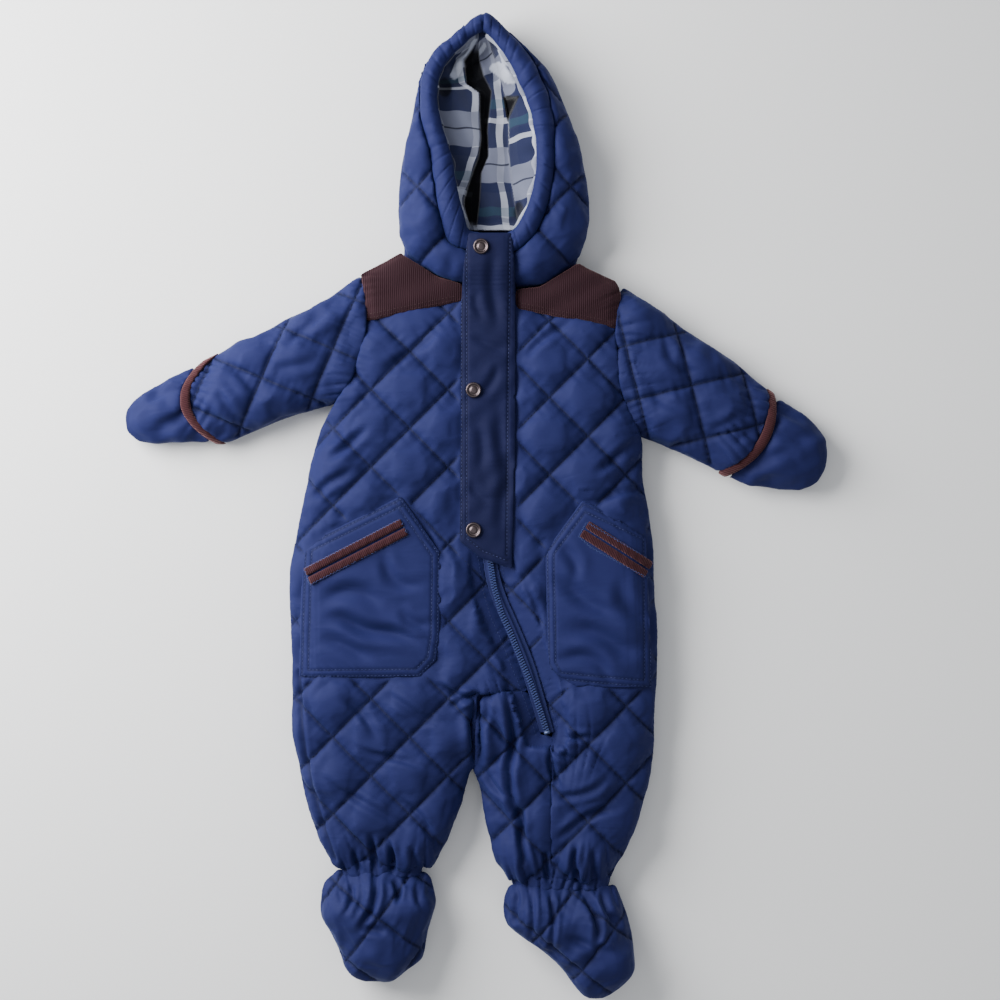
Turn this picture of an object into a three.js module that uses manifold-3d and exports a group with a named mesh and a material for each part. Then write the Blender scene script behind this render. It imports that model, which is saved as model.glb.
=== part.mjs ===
// A baby's quilted snowsuit with hood, mitts and feet, laid flat on its back.
// Millimetres. x runs to the wearer's left, y up to the hood's peak, z up from the surface.
// The back lies on the surface, the front lies on the back, and the hood is a hollow lying on its back.
import * as THREE from "three";
import { mergeVertices } from "three/addons/utils/BufferGeometryUtils.js";
import Module from "manifold-3d";

const wasm = await Module();
wasm.setup();

// Driving sizes
const GAP = 0.3; // between neighbouring pieces
const HALF_GAP = GAP / 2;
const JUMP = 0.15; // a step in an edge takes this much of y, on each side
const MIDDLE = 15; // height at which the front layer lies on the back layer
const EDGE = 5; // thickness of a layer at the side seams
const FRONT_TOP = 33; // height of the front at the quilting lines
const SIDE_ROUND = 34; // how far in from a side seam the front goes on rising
const BACK_ROUND = 16; // how far in from a side seam the underside lies off the surface
const QUILT = 30.7; // from one quilting crossing to the next, along x and along y
const PUFF = 6; // how far a diamond stands above its quilting lines
const STEP = QUILT / 3; // spacing of the surface points, so that quilting lines run through them
const CENTRE_X = -4; // the centre front, where the legs part
const CROTCH_Y = -208;
const ANKLE = { right: -281, left: -291 }; // where each leg meets its ankle elastic
const CUFF = 14; // length of the ankle elastic
const NECK_BACK_Y = 186; // back neck seam
const SLEEVE_ROUND = 26; // how far in from a sleeve's edge its top goes on rising
const UNDERSIDE = 12; // how far the rounded underside of a sleeve or ankle rises at its edges
const TRIM_WIDTH = 8;
const TRIM_RAISED = 1.8; // how far the mitt's trim stands out
// The gathered casing round the hood's opening: its lower and upper heights and its gathers
const CASING = { low: 35.5, high: 49, gather: 1.3, gathers: { right: 18, left: 19 } };
const HOOD_BRIM = 45; // height of the hood's wall where it meets the casing
const HOOD_WALL = 12; // width of the wall's foot on the back panel
const HOOD_LOW = 22; // height at which the wall's outer face turns under
const SEAM_GAP = 1.4; // between the hood's wall and the casing, which curve together
const LINING = { floor: 17, rim: 34.5, wall: 1.8 };
const FOOT_TOP = 44;
const PLACKET = 3.5; // thickness of the placket over the front
const POCKET = 3; // thickness of a pocket over the front
const WELT = 2.6; // how far a welt stands above its pocket
const WELT_HALF = 7.2; // half the width of the two welts together
const WELT_SLIT = 0.8; // half the width of the opening between them
const SNAP = { radius: 6.2, height: 2.6 };

const COLOURS = {
  shell: { color: 0x2c4479, roughness: 0.55, metalness: 0 },
  corduroy: { color: 0x4a2b33, roughness: 0.95, metalness: 0 },
  lining: { color: 0x7d88a8, roughness: 0.95, metalness: 0 },
  zip: { color: 0x3a4f86, roughness: 0.5, metalness: 0 },
  metal: { color: 0x8d8784, roughness: 0.35, metalness: 0.9 },
};

// Side outlines of the body and legs below the armholes, from the armpit to the ankle
const SIDE_RIGHT = [
  { x: -122, y: 67 },
  { x: -131, y: 39 },
  { x: -139, y: -2 },
  { x: -148, y: -45 },
  { x: -149, y: -79 },
  { x: -147, y: -119 },
  { x: -147, y: -171 },
  { x: -143, y: -198 },
  { x: -136, y: -233 },
  { x: -124, y: -268 },
  { x: -110, y: -286 },
  { x: -108, y: -296 },
];
const SIDE_LEFT = [
  { x: 133, y: 43 },
  { x: 133, y: 22 },
  { x: 140, y: -21 },
  { x: 142, y: -60 },
  { x: 145, y: -122 },
  { x: 142, y: -159 },
  { x: 142, y: -189 },
  { x: 139, y: -214 },
  { x: 132, y: -241 },
  { x: 122, y: -268 },
  { x: 109, y: -293 },
  { x: 106, y: -306 },
];
// Inner leg outlines, from the crotch to the ankle
const INNER_RIGHT = [
  { x: CENTRE_X - HALF_GAP, y: CROTCH_Y },
  { x: -7, y: -216 },
  { x: -11, y: -233 },
  { x: -19, y: -256 },
  { x: -31, y: -278 },
  { x: -43, y: -288 },
  { x: -43, y: -296 },
];
const INNER_LEFT = [
  { x: CENTRE_X + HALF_GAP, y: CROTCH_Y },
  { x: 2, y: -219 },
  { x: 6, y: -240 },
  { x: 12, y: -268 },
  { x: 19, y: -288 },
  { x: 28, y: -298 },
  { x: 29, y: -306 },
];
// Shoulder lines, from the armhole to the hood
const SHOULDER_RIGHT = [
  { x: -92, y: 187 },
  { x: -59, y: 201 },
];
const SHOULDER_LEFT = [
  { x: 117, y: 177 },
  { x: 97, y: 186 },
  { x: 79, y: 194 },
];
// The zip's two tape edges, from the placket to its end on the left thigh
const ZIP_INNER = [
  { x: 2, y: 0 },
  { x: 5, y: -41 },
  { x: 10, y: -67 },
  { x: 24, y: -100 },
  { x: 37, y: -134 },
  { x: 51, y: -181 },
];
const ZIP_OUTER = [
  { x: 14, y: 0 },
  { x: 17, y: -41 },
  { x: 23, y: -67 },
  { x: 35, y: -95 },
  { x: 48, y: -128 },
  { x: 63, y: -181 },
];
const ZIP_END_Y = -183;
const ZIP_Z = 28; // height of the tape, sunk between the two fronts
const LEG_SEAM_X = 60; // seam down the left leg below the zip
const INNER_LEG_TOP_Y = -147; // top edge of the inner leg's piece
const GUSSET_X = 0; // where that piece meets the right front above the crotch
const FRONTS_MEET_X = 2; // where the fronts meet under the placket, above the zip
const NECK_TOP = { right: 203, left: 196 }; // where the fronts end at the hood, before the neck is cut

// Arm sections from inside the armhole to the mitt's tip: overarm edge, underarm edge and height
const ARM_RIGHT = [
  { topX: -74, topY: 196, lowX: -95, lowY: 90, top: 31 },
  { topX: -92, topY: 187, lowX: -111, lowY: 84, top: 31 },
  { topX: -116, topY: 169, lowX: -131, lowY: 78, top: 31 },
  { topX: -132, topY: 160, lowX: -149, lowY: 73, top: 31 },
  { topX: -152, topY: 151, lowX: -174, lowY: 63, top: 31 },
  { topX: -172, topY: 139, lowX: -188, lowY: 57, top: 30 },
  { topX: -190, topY: 133, lowX: -197, lowY: 53, top: 29 },
  { topX: -208, topY: 122, lowX: -203, lowY: 52, top: 28 },
  { topX: -226, topY: 113, lowX: -220, lowY: 52, top: 28 },
  { topX: -245, topY: 104, lowX: -240, lowY: 52, top: 27 },
  { topX: -261, topY: 95, lowX: -257, lowY: 51, top: 26 },
  { topX: -274, topY: 86, lowX: -271, lowY: 53, top: 24 },
  { topX: -281, topY: 76, lowX: -280, lowY: 61, top: 19 },
];
const ARM_LEFT = [
  { topX: 101, topY: 189, lowX: 116, lowY: 66, top: 31 },
  { topX: 117, topY: 177, lowX: 131, lowY: 57, top: 31 },
  { topX: 133, topY: 167, lowX: 145, lowY: 52, top: 31 },
  { topX: 148, topY: 157, lowX: 158, lowY: 46, top: 31 },
  { topX: 166, topY: 143, lowX: 170, lowY: 41, top: 31 },
  { topX: 185, topY: 131, lowX: 180, lowY: 36, top: 30 },
  { topX: 208, topY: 116, lowX: 189, lowY: 32, top: 29 },
  { topX: 228, topY: 98, lowX: 199, lowY: 26, top: 28 },
  { topX: 247, topY: 84, lowX: 218, lowY: 18, top: 28 },
  { topX: 262, topY: 75, lowX: 241, lowY: 15, top: 27 },
  { topX: 272, topY: 66, lowX: 259, lowY: 14, top: 26 },
  { topX: 279, topY: 56, lowX: 272, lowY: 19, top: 24 },
  { topX: 281, topY: 46, lowX: 279, lowY: 30, top: 19 },
];
// Seam lines across an arm: two ends, and how far the line bows towards the hand
const ARMHOLE = {
  right: { topX: -92, topY: 187, lowX: -111, lowY: 84, bow: -12 },
  left: { topX: 117, topY: 177, lowX: 131, lowY: 57, bow: -12 },
};
const MITT_MOUTH = {
  right: { topX: -209, topY: 121, lowX: -202, lowY: 52, bow: 23 },
  left: { topX: 233, topY: 93, lowX: 195, lowY: 29, bow: 13 },
};

// Hood sections, from the centre front round by the right side, over the peak and down the left side.
// open: the edge of the opening. seam: where the casing meets the hood's wall. edge: the hood's outline.
const HOOD = [
  { openX: 8, openY: 216, seamX: 8, seamY: 202, edgeX: 9, edgeY: 178 },
  { openX: -6, openY: 219, seamX: -14, seamY: 206, edgeX: -14, edgeY: 180 },
  { openX: -9, openY: 226, seamX: -23, seamY: 214, edgeX: -38, edgeY: 189 },
  { openX: -12, openY: 238, seamX: -27, seamY: 230, edgeX: -58, edgeY: 207 },
  { openX: -16, openY: 253, seamX: -31, seamY: 250, edgeX: -62, edgeY: 239 },
  { openX: -20, openY: 277, seamX: -35, seamY: 277, edgeX: -59, edgeY: 274 },
  { openX: -28, openY: 303, seamX: -42, seamY: 306, edgeX: -51, edgeY: 308 },
  { openX: -32, openY: 328, seamX: -43, seamY: 333, edgeX: -46, edgeY: 334 },
  { openX: -26, openY: 350, seamX: -35, seamY: 357, edgeX: -37, edgeY: 358 },
  { openX: -12, openY: 365, seamX: -17, seamY: 373, edgeX: -18, edgeY: 374 },
  { openX: 5, openY: 378, seamX: 7, seamY: 390, edgeX: 7, edgeY: 392 },
  { openX: 16, openY: 368, seamX: 24, seamY: 376, edgeX: 25, edgeY: 378 },
  { openX: 27, openY: 353, seamX: 39, seamY: 360, edgeX: 42, edgeY: 362 },
  { openX: 34, openY: 338, seamX: 48, seamY: 345, edgeX: 58, edgeY: 347 },
  { openX: 42, openY: 320, seamX: 57, seamY: 323, edgeX: 68, edgeY: 325 },
  { openX: 47, openY: 299, seamX: 61, seamY: 300, edgeX: 78, edgeY: 300 },
  { openX: 49, openY: 275, seamX: 61, seamY: 274, edgeX: 86, edgeY: 270 },
  { openX: 46, openY: 252, seamX: 58, seamY: 250, edgeX: 90, edgeY: 243 },
  { openX: 39, openY: 232, seamX: 51, seamY: 227, edgeX: 88, edgeY: 217 },
  { openX: 30, openY: 219, seamX: 40, seamY: 210, edgeX: 78, edgeY: 195 },
  { openX: 22, openY: 216, seamX: 27, seamY: 203, edgeX: 50, edgeY: 177 },
  { openX: 10, openY: 216, seamX: 10, seamY: 202, edgeX: 11, edgeY: 178 },
];
const HOOD_PEAK = 10; // the row of HOOD at the peak

// Feet from ankle to toe: the two sides of the outline at each y
const FOOT_RIGHT = [
  { y: -295.3, x0: -110, x1: -42 },
  { y: -301, x0: -121, x1: -36 },
  { y: -315, x0: -124, x1: -33 },
  { y: -328, x0: -123, x1: -36 },
  { y: -338, x0: -117, x1: -39 },
  { y: -350, x0: -111, x1: -41 },
  { y: -361, x0: -107, x1: -44 },
  { y: -369, x0: -104, x1: -55 },
  { y: -375, x0: -97, x1: -62 },
  { y: -379, x0: -87, x1: -71 },
];
const FOOT_LEFT = [
  { y: -305.3, x0: 27, x1: 109 },
  { y: -313, x0: 23, x1: 115 },
  { y: -322, x0: 22, x1: 119 },
  { y: -333, x0: 25, x1: 122 },
  { y: -342, x0: 35, x1: 124 },
  { y: -350, x0: 47, x1: 125 },
  { y: -360, x0: 60, x1: 126 },
  { y: -370, x0: 70, x1: 126 },
  { y: -380, x0: 77, x1: 119 },
  { y: -388, x0: 84, x1: 108 },
  { y: -392, x0: 91, x1: 100 },
];

// Pockets: the outline tables give the two sides at each y, and the top corner is slanted
const POCKETS = {
  right: {
    inner: [
      { x: -59, y: 8 },
      { x: -28, y: -37 },
      { x: -29, y: -101 },
      { x: -32, y: -122 },
      { x: -45, y: -135 },
    ],
    outer: [
      { x: -62, y: 8 },
      { x: -135, y: -29 },
      { x: -139, y: -60 },
      { x: -141, y: -135 },
    ],
    welt: { from: { x: -134, y: -55 }, to: { x: -57, y: -15.5 } },
  },
  left: {
    inner: [
      { x: 84, y: 5 },
      { x: 55, y: -35 },
      { x: 57, y: -125 },
      { x: 64, y: -137 },
      { x: 80, y: -143 },
    ],
    outer: [
      { x: 86, y: 5 },
      { x: 135, y: -21 },
      { x: 137, y: -60 },
      { x: 140, y: -143 },
    ],
    welt: { from: { x: 86, y: -17 }, to: { x: 137.5, y: -50 } },
  },
};

// A function of y that follows an outline whose points run steadily up or down
function edgeOf(points) {
  const up = [...points].sort((a, b) => a.y - b.y);
  return (y) => {
    const at = THREE.MathUtils.clamp(y, up[0].y, up.at(-1).y);
    const next = Math.max(1, up.findIndex((p) => p.y >= at));
    const a = up[next - 1];
    const b = up[next];
    return a.x + ((b.x - a.x) * (at - a.y)) / (b.y - a.y);
  };
}

// An outline made smooth between its points
function smooth(points, steps = 12) {
  const curve = new THREE.SplineCurve(points.map((p) => new THREE.Vector2(p.x, p.y)));
  return curve.getPoints(steps * (points.length - 1)).map((p) => ({ x: p.x, y: p.y }));
}

// Rows of a table with in-between rows added, each column on a smooth curve
function refine(rows, steps) {
  const keys = Object.keys(rows[0]);
  const places = rows.map((_, i) => i);
  const values = rows.flatMap((row) => keys.map((key) => row[key]));
  const curve = new THREE.CubicInterpolant(places, values, keys.length);
  const at = (u) => {
    const found = curve.evaluate(u);
    return Object.fromEntries(keys.map((key, i) => [key, found[i]]));
  };
  return { at, rows: steps.map(at) };
}

// Evenly spaced values from one to another, both included
function spread(from, to, count) {
  return Array.from({ length: count + 1 }, (_, i) => from + ((to - from) * i) / count);
}

// The place on an arm section or seam line at t, from -1 on the underarm edge to 1 on the overarm edge,
// moved towards the hand
function across(row, t, moved = 0) {
  const wide = new THREE.Vector2(row.topX - row.lowX, row.topY - row.lowY);
  const size = wide.length() / 2;
  const towardsHand = new THREE.Vector2(wide.y, -wide.x).normalize();
  if (towardsHand.x * row.lowX < 0) towardsHand.negate();
  const place = new THREE.Vector2(row.lowX, row.lowY).addScaledVector(wide, (t + 1) / 2);
  place.addScaledVector(towardsHand, (row.bow ?? 0) * (1 - t * t) + moved);
  return { x: place.x, y: place.y, size };
}
const seamLine = (row, moved, reach = 1) => spread(-reach, reach, 24).map((t) => across(row, t, moved));

const rightEdge = edgeOf([...smooth(SIDE_RIGHT), ...seamLine(ARMHOLE.right), ...SHOULDER_RIGHT.slice(1)]);
const leftEdge = edgeOf([...smooth(SIDE_LEFT), ...seamLine(ARMHOLE.left), ...SHOULDER_LEFT.slice(1)]);
const innerRight = edgeOf(smooth(INNER_RIGHT));
const innerLeft = edgeOf(smooth(INNER_LEFT));
const zipInner = edgeOf(smooth(ZIP_INNER));
const zipOuter = edgeOf(smooth(ZIP_OUTER));

// From 0 at an edge to 1 at the given distance in from it, as a quarter circle
function rise(distance, reach) {
  const left = 1 - THREE.MathUtils.clamp(distance / reach, 0, 1);
  return Math.sqrt(1 - left * left);
}

const QUILT_FULLNESS = 0.6; // below 1, a diamond is flatter in its middle and steeper at its lines

// Quilting in diamonds: 0 on the quilting lines, 1 in the middle of a diamond
function diamonds(x, y, origin) {
  const u = (x - origin.x + (y - origin.y)) / (2 * QUILT);
  const v = (x - origin.x - (y - origin.y)) / (2 * QUILT);
  return Math.pow(Math.abs(Math.sin(Math.PI * u) * Math.sin(Math.PI * v)), QUILT_FULLNESS);
}

// A crossing of the quilting lines on each front
const QUILT_RIGHT = { x: -53, y: 124.2 };
const QUILT_LEFT = { x: 58.2, y: 87.4 };

// How far a point of the body or a leg lies in from the outline, the armholes counting less
function inFromEdge(x, y) {
  const side = Math.min(x - rightEdge(y), leftEdge(y) - x);
  const inner =
    y > CROTCH_Y
      ? Math.hypot(x - CENTRE_X, y - CROTCH_Y)
      : Math.max(innerRight(y) - x, x - innerLeft(y));
  return { side: Math.max(0, side), inner: Math.max(0, inner) };
}

// Under the pockets and the placket, and this far round the pockets, the front isn't puffed
const PLAIN_ROUND = 4;
const PLACKET_PLAIN = { x0: -16, x1: 36, y0: -50, y1: 230 };
const pocketSides = Object.entries(POCKETS).map(([side, { inner, outer }]) => {
  const [left, right] = side === "right" ? [outer, inner] : [inner, outer];
  return { low: inner.at(-1).y, high: inner[0].y, x0: edgeOf(left), x1: edgeOf(right) };
});
function isPlain(x, y) {
  const { x0, x1, y0, y1 } = PLACKET_PLAIN;
  const underPocket = pocketSides.some((pocket) => {
    const within = y > pocket.low - 1 && y < pocket.high + PLAIN_ROUND;
    return within && x > pocket.x0(y) - PLAIN_ROUND && x < pocket.x1(y) + PLAIN_ROUND;
  });
  return underPocket || (x > x0 && x < x1 && y > y0 && y < y1);
}

const ARMHOLE_RISE = { from: 40, to: 85, share: 0.7 }; // y over which the front stays high at its edge
const ANKLE_PINCH = { reach: 22, share: 0.3 }; // how the front is drawn in above an ankle
const YOKE = { low: 140, middle: 10, inner: 20 }; // above this y and this far from this x is a yoke

function frontHeight(x, y, origin) {
  const { side, inner } = inFromEdge(x, y);
  const atArmhole = THREE.MathUtils.smoothstep(y, ARMHOLE_RISE.from, ARMHOLE_RISE.to);
  const fall = 1 - Math.min(rise(side, SIDE_ROUND), rise(inner, SIDE_ROUND));
  const share = 1 - fall * (1 - ARMHOLE_RISE.share * atArmhole);
  const ankleY = x < CENTRE_X ? ANKLE.right : ANKLE.left;
  const { reach } = ANKLE_PINCH;
  const pinch = 1 - ANKLE_PINCH.share * THREE.MathUtils.smoothstep(ankleY + reach - y, 0, reach);
  const low = MIDDLE + EDGE;
  const yoke = y > YOKE.low && Math.abs(x - YOKE.middle) > YOKE.inner;
  const puff = isPlain(x, y) || yoke ? 0 : PUFF * diamonds(x, y, origin);
  return low + ((FRONT_TOP - low) * share + puff * Math.min(1, share)) * pinch;
}

function backHeight(x, y) {
  const { side, inner } = inFromEdge(x, y);
  const share = Math.min(rise(side, BACK_ROUND), rise(inner, BACK_ROUND));
  return (MIDDLE - EDGE) * (1 - share);
}

// A closed body from a list of points and triangles, with the faces turned outwards
function solid(points, triangles) {
  const raw = new THREE.BufferGeometry();
  raw.setAttribute("position", new THREE.Float32BufferAttribute(points.flat(), 3));
  raw.setIndex(triangles.flat());
  return solidOf(raw);
}

function solidOf(geometry) {
  geometry.deleteAttribute("normal");
  geometry.deleteAttribute("uv");
  const merged = mergeVertices(geometry, 1e-3);
  const corners = [];
  for (let i = 0; i < merged.index.count; i += 3) {
    const [a, b, c] = [0, 1, 2].map((k) => merged.index.getX(i + k));
    if (a !== b && b !== c && c !== a) corners.push([a, b, c]);
  }
  const build = (list) =>
    new wasm.Manifold(
      new wasm.Mesh({
        numProp: 3,
        vertProperties: new Float32Array(merged.attributes.position.array),
        triVerts: new Uint32Array(list.flat()),
      }),
    );
  const made = build(corners);
  return made.volume() < 0 ? build(corners.map(([a, b, c]) => [a, c, b])) : made;
}

// A body through closed rings of [x, y, z, s] points, s being the place across the ring.
// holes, if given, are the rings of a passage from end to end.
function loft(rings, holes = []) {
  const points = [];
  const triangles = [];
  const add = (list, turned) => {
    const starts = list.map((ring) => {
      points.push(...ring.map((p) => p.slice(0, 3)));
      return points.length - ring.length;
    });
    for (let r = 0; r + 1 < list.length; r++) {
      const count = list[r].length;
      for (let i = 0; i < count; i++) {
        const j = (i + 1) % count;
        const [a, b, c, d] = [starts[r] + i, starts[r] + j, starts[r + 1] + j, starts[r + 1] + i];
        const alongLines = points[a][2] + points[c][2] < points[b][2] + points[d][2];
        const pair = alongLines ? [[a, b, c], [a, c, d]] : [[a, b, d], [b, c, d]];
        triangles.push(...pair.map((t) => (turned ? t.toReversed() : t)));
      }
    }
    return starts;
  };
  const outer = add(rings, false);
  const inner = add(holes, true);
  for (const end of [0, rings.length - 1]) {
    const flat = (ring) => ring.map((p) => new THREE.Vector2(p[3], p[2]));
    const hole = holes.length ? [flat(holes[end])] : [];
    const index = rings[end].map((_, i) => outer[end] + i);
    if (holes.length) index.push(...holes[end].map((_, i) => inner[end] + i));
    const clockwise = THREE.ShapeUtils.isClockWise(flat(rings[end]));
    for (const t of THREE.ShapeUtils.triangulateShape(flat(rings[end]), hole)) {
      const turned = (end === 0) === clockwise;
      const corners = t.map((i) => index[i]);
      triangles.push(turned ? corners : corners.toReversed());
    }
  }
  return solid(points, triangles);
}

// Places along a row, in from the edges: one point near each edge, and where the quilting's columns begin.
// A column closer than join to where they begin is moved there.
const ROW = { near: 3, inner: 7, join: 2.5 };

// The columns of one row between two edges
function columns(x0, x1, origin, first, last) {
  const low = x0 + ROW.inner;
  const high = x1 - ROW.inner;
  const lattice = spread(first, last, last - first).map((k) => {
    const x = THREE.MathUtils.clamp(origin + k * STEP, low, high);
    if (x - low < ROW.join) return low;
    return high - x < ROW.join ? high : x;
  });
  return [x0, x0 + ROW.near, ...lattice, x1 - ROW.near, x1];
}

const BODY_REACH = { right: -155, left: 150 }; // x beyond the sides of the body
const BREAK_CLEAR = 2; // a row of the quilting closer than this to a break in the edges is left out

// The front layer between two edges, which are functions of y, from row to row of the quilting.
// breaks are the y on both sides of each step in the edges.
function frontLayer(y0, y1, x0, x1, origin, breaks) {
  const from = Math.ceil((y0 + ROW.near - origin.y) / STEP);
  const to = Math.floor((y1 - ROW.near - origin.y) / STEP);
  const quilted = spread(from, to, to - from).map((k) => origin.y + k * STEP);
  const kept = [y0, ...quilted, y1].filter((y) => !breaks.some((b) => Math.abs(b - y) < BREAK_CLEAR));
  const rows = [...kept, ...breaks].sort((a, b) => a - b);
  const first = Math.floor((BODY_REACH.right - origin.x) / STEP);
  const last = Math.ceil((BODY_REACH.left - origin.x) / STEP);
  const base = MIDDLE + HALF_GAP;
  return loft(
    rows.map((y) => {
      const xs = columns(x0(y), x1(y), origin.x, first, last);
      const top = xs.map((x) => [x, y, frontHeight(x, y, origin), x]);
      return [...top, [x1(y), y, base, x1(y)], [x0(y), y, base, x0(y)]];
    }),
  );
}

// The places along a row of an underside, from its left edge to its right edge, closer in the rounding
const ROUNDING = [0, 0.15, 0.5, 1];
function undersideRow(x0, x1, reach) {
  const left = ROUNDING.map((share) => x1 - share * reach);
  const right = ROUNDING.map((share) => x0 + share * reach);
  return [...left, ...right.toReversed()];
}
const backRound = (x0, x1) => Math.min(BACK_ROUND, (x1 - x0) / 2.5);

// The back layer between two edges: plain, its underside flat on the surface and rounded up to the seams
function backLayer(ys, x0, x1) {
  const top = MIDDLE - HALF_GAP;
  return loft(
    ys.map((y) => {
      const [a, b] = [x0(y), x1(y)];
      const under = undersideRow(a, b, backRound(a, b));
      return [[a, y, top, a], [b, y, top, b], ...under.map((x) => [x, y, backHeight(x, y), x])];
    }),
  );
}

// An upright block over an outline
function block(points, z0, z1) {
  const shape = new THREE.Shape(points.map((p) => new THREE.Vector2(p.x, p.y)));
  const geometry = new THREE.ExtrudeGeometry(shape, { depth: z1 - z0, bevelEnabled: false });
  return solidOf(geometry.translate(0, 0, z0));
}

// What is left of a piece that lies on others, a gap above them, without crumbs below their surface
function laidOn(piece, under) {
  const rest = under.reduce((left, other) => left.subtract(other.translate([0, 0, GAP])), piece);
  return rest.decompose().reduce((a, b) => (a.volume() > b.volume() ? a : b));
}

const suit = new THREE.Group();
function addPiece(name, made, colour) {
  const found = made.getMesh();
  const geometry = new THREE.BufferGeometry();
  geometry.setAttribute("position", new THREE.Float32BufferAttribute(found.vertProperties, 3));
  geometry.setIndex(new THREE.Uint32BufferAttribute(found.triVerts, 1));
  geometry.computeVertexNormals();
  const mesh = new THREE.Mesh(geometry, new THREE.MeshStandardMaterial(COLOURS[colour]));
  mesh.name = name;
  suit.add(mesh);
}

// Fronts, yokes and the inner leg
const frontRightInner = (y) => {
  if (y > INNER_LEG_TOP_Y) return y > 0 ? FRONTS_MEET_X - HALF_GAP : zipInner(y) - HALF_GAP;
  return y > CROTCH_Y ? GUSSET_X - HALF_GAP : innerRight(y);
};
const frontRight = frontLayer(
  ANKLE.right,
  NECK_TOP.right,
  (y) => rightEdge(y) + HALF_GAP,
  frontRightInner,
  QUILT_RIGHT,
  [CROTCH_Y - JUMP, CROTCH_Y + JUMP, INNER_LEG_TOP_Y - JUMP, INNER_LEG_TOP_Y + JUMP],
);
const frontLeftInner = (y) => {
  if (y < ZIP_END_Y) return LEG_SEAM_X + HALF_GAP;
  return y > 0 ? FRONTS_MEET_X + HALF_GAP : zipOuter(y) + HALF_GAP;
};
const frontLeft = frontLayer(
  ANKLE.left,
  NECK_TOP.left,
  frontLeftInner,
  (y) => leftEdge(y) - HALF_GAP,
  QUILT_LEFT,
  [ZIP_END_Y - JUMP, ZIP_END_Y + JUMP, -JUMP, JUMP],
);
const innerLegOuter = (y) => (y < ZIP_END_Y ? LEG_SEAM_X - HALF_GAP : zipInner(y) - HALF_GAP);
const innerLeg = frontLayer(
  ANKLE.left,
  INNER_LEG_TOP_Y - HALF_GAP - JUMP,
  (y) => (y > CROTCH_Y ? GUSSET_X + HALF_GAP : innerLeft(y)),
  innerLegOuter,
  QUILT_LEFT,
  [ZIP_END_Y - JUMP, ZIP_END_Y + JUMP, CROTCH_Y - JUMP, CROTCH_Y + JUMP],
);

// The neck's edge of the fronts, as a block over what is cut away, and the seams of the yokes
const tall = [MIDDLE - 5, 70];
const YOKE_TOP_Y = 230;
const aboveNeck = block(
  [
    { x: -59.5, y: 240 },
    { x: -59.5, y: 201 },
    { x: -45, y: 192 },
    { x: -31, y: 183 },
    { x: -11, y: 177 },
    { x: 33, y: 173 },
    { x: 51, y: 175 },
    { x: 64, y: 183 },
    { x: 80, y: 193 },
    { x: 92, y: 240 },
  ],
  ...tall,
);
const yokeLow = {
  right: [
    { x: -120, y: 142 },
    { x: -11, y: 165 },
  ],
  left: [
    { x: 32, y: 159 },
    { x: 140, y: 137 },
  ],
};
// A block over a yoke, larger by the gap on the edges it shares with its front
function yokeBlock(side, gap) {
  const low = yokeLow[side];
  const x0 = low[0].x - (side === "left" ? gap : 0);
  const x1 = low[1].x + (side === "right" ? gap : 0);
  return block(
    [
      { x: x0, y: low[0].y - gap },
      { x: x1, y: low[1].y - gap },
      { x: x1, y: YOKE_TOP_Y },
      { x: x0, y: YOKE_TOP_Y },
    ],
    ...tall,
  );
}
const yokeRight = frontRight.intersect(yokeBlock("right", 0)).subtract(aboveNeck);
const yokeLeft = frontLeft.intersect(yokeBlock("left", 0)).subtract(aboveNeck);
const frontRightPiece = frontRight.subtract(yokeBlock("right", GAP)).subtract(aboveNeck);
const frontLeftPiece = frontLeft.subtract(yokeBlock("left", GAP)).subtract(aboveNeck);
addPiece("front_right", frontRightPiece, "shell");
addPiece("front_left", frontLeftPiece, "shell");
addPiece("inner_leg_left", innerLeg, "shell");
addPiece("yoke_right", yokeRight, "corduroy");
addPiece("yoke_left", yokeLeft, "corduroy");

// Backs: each ends in a shoulder tab beside the hood's back panel
const SHOULDER_TAB = { right: { x: -60.5, top: 199 }, left: { x: 80.5, top: 192.5 } };
const neckStep = NECK_BACK_Y - HALF_GAP - JUMP / 2;
const backSteps = [...spread(-280, 60, 12), ...spread(72, 184, 10)];
function backRows(low, high) {
  const clear = backSteps.filter((y) => Math.abs(y - CROTCH_Y) > ROW.near);
  const rows = [
    low,
    ...clear.filter((y) => y > low + ROW.near && y < high - ROW.near),
    CROTCH_Y - JUMP,
    CROTCH_Y + JUMP,
    NECK_BACK_Y - JUMP - HALF_GAP,
    NECK_BACK_Y - HALF_GAP,
    high,
  ];
  return rows.sort((a, b) => a - b);
}
const backRight = backLayer(
  backRows(ANKLE.right, SHOULDER_TAB.right.top),
  (y) => rightEdge(y) + HALF_GAP,
  (y) => {
    if (y > neckStep) return SHOULDER_TAB.right.x;
    return y > CROTCH_Y ? CENTRE_X - HALF_GAP : innerRight(y);
  },
);
const backLeft = backLayer(
  backRows(ANKLE.left, SHOULDER_TAB.left.top),
  (y) => {
    if (y > neckStep) return SHOULDER_TAB.left.x;
    return y > CROTCH_Y ? CENTRE_X + HALF_GAP : innerLeft(y);
  },
  (y) => leftEdge(y) - HALF_GAP,
);
addPiece("back_right", backRight, "shell");
addPiece("back_left", backLeft, "shell");

// Sleeves, trims and mitts: flattened tubes with a slit inside, flat underneath.
// The places round a section, in half widths from its middle line:
const ARM_OVER = [-1, -0.95, -0.85, -0.68, -0.5, -0.3, -0.1, 0.1, 0.3, 0.5, 0.68, 0.85, 0.95, 1];
const ARM_UNDER = [0.93, 0.7, 0.35, -0.35, -0.7, -0.93];
const UNDER_ROUND = 0.6; // the underside's rounding, as a share of the top's

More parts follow.
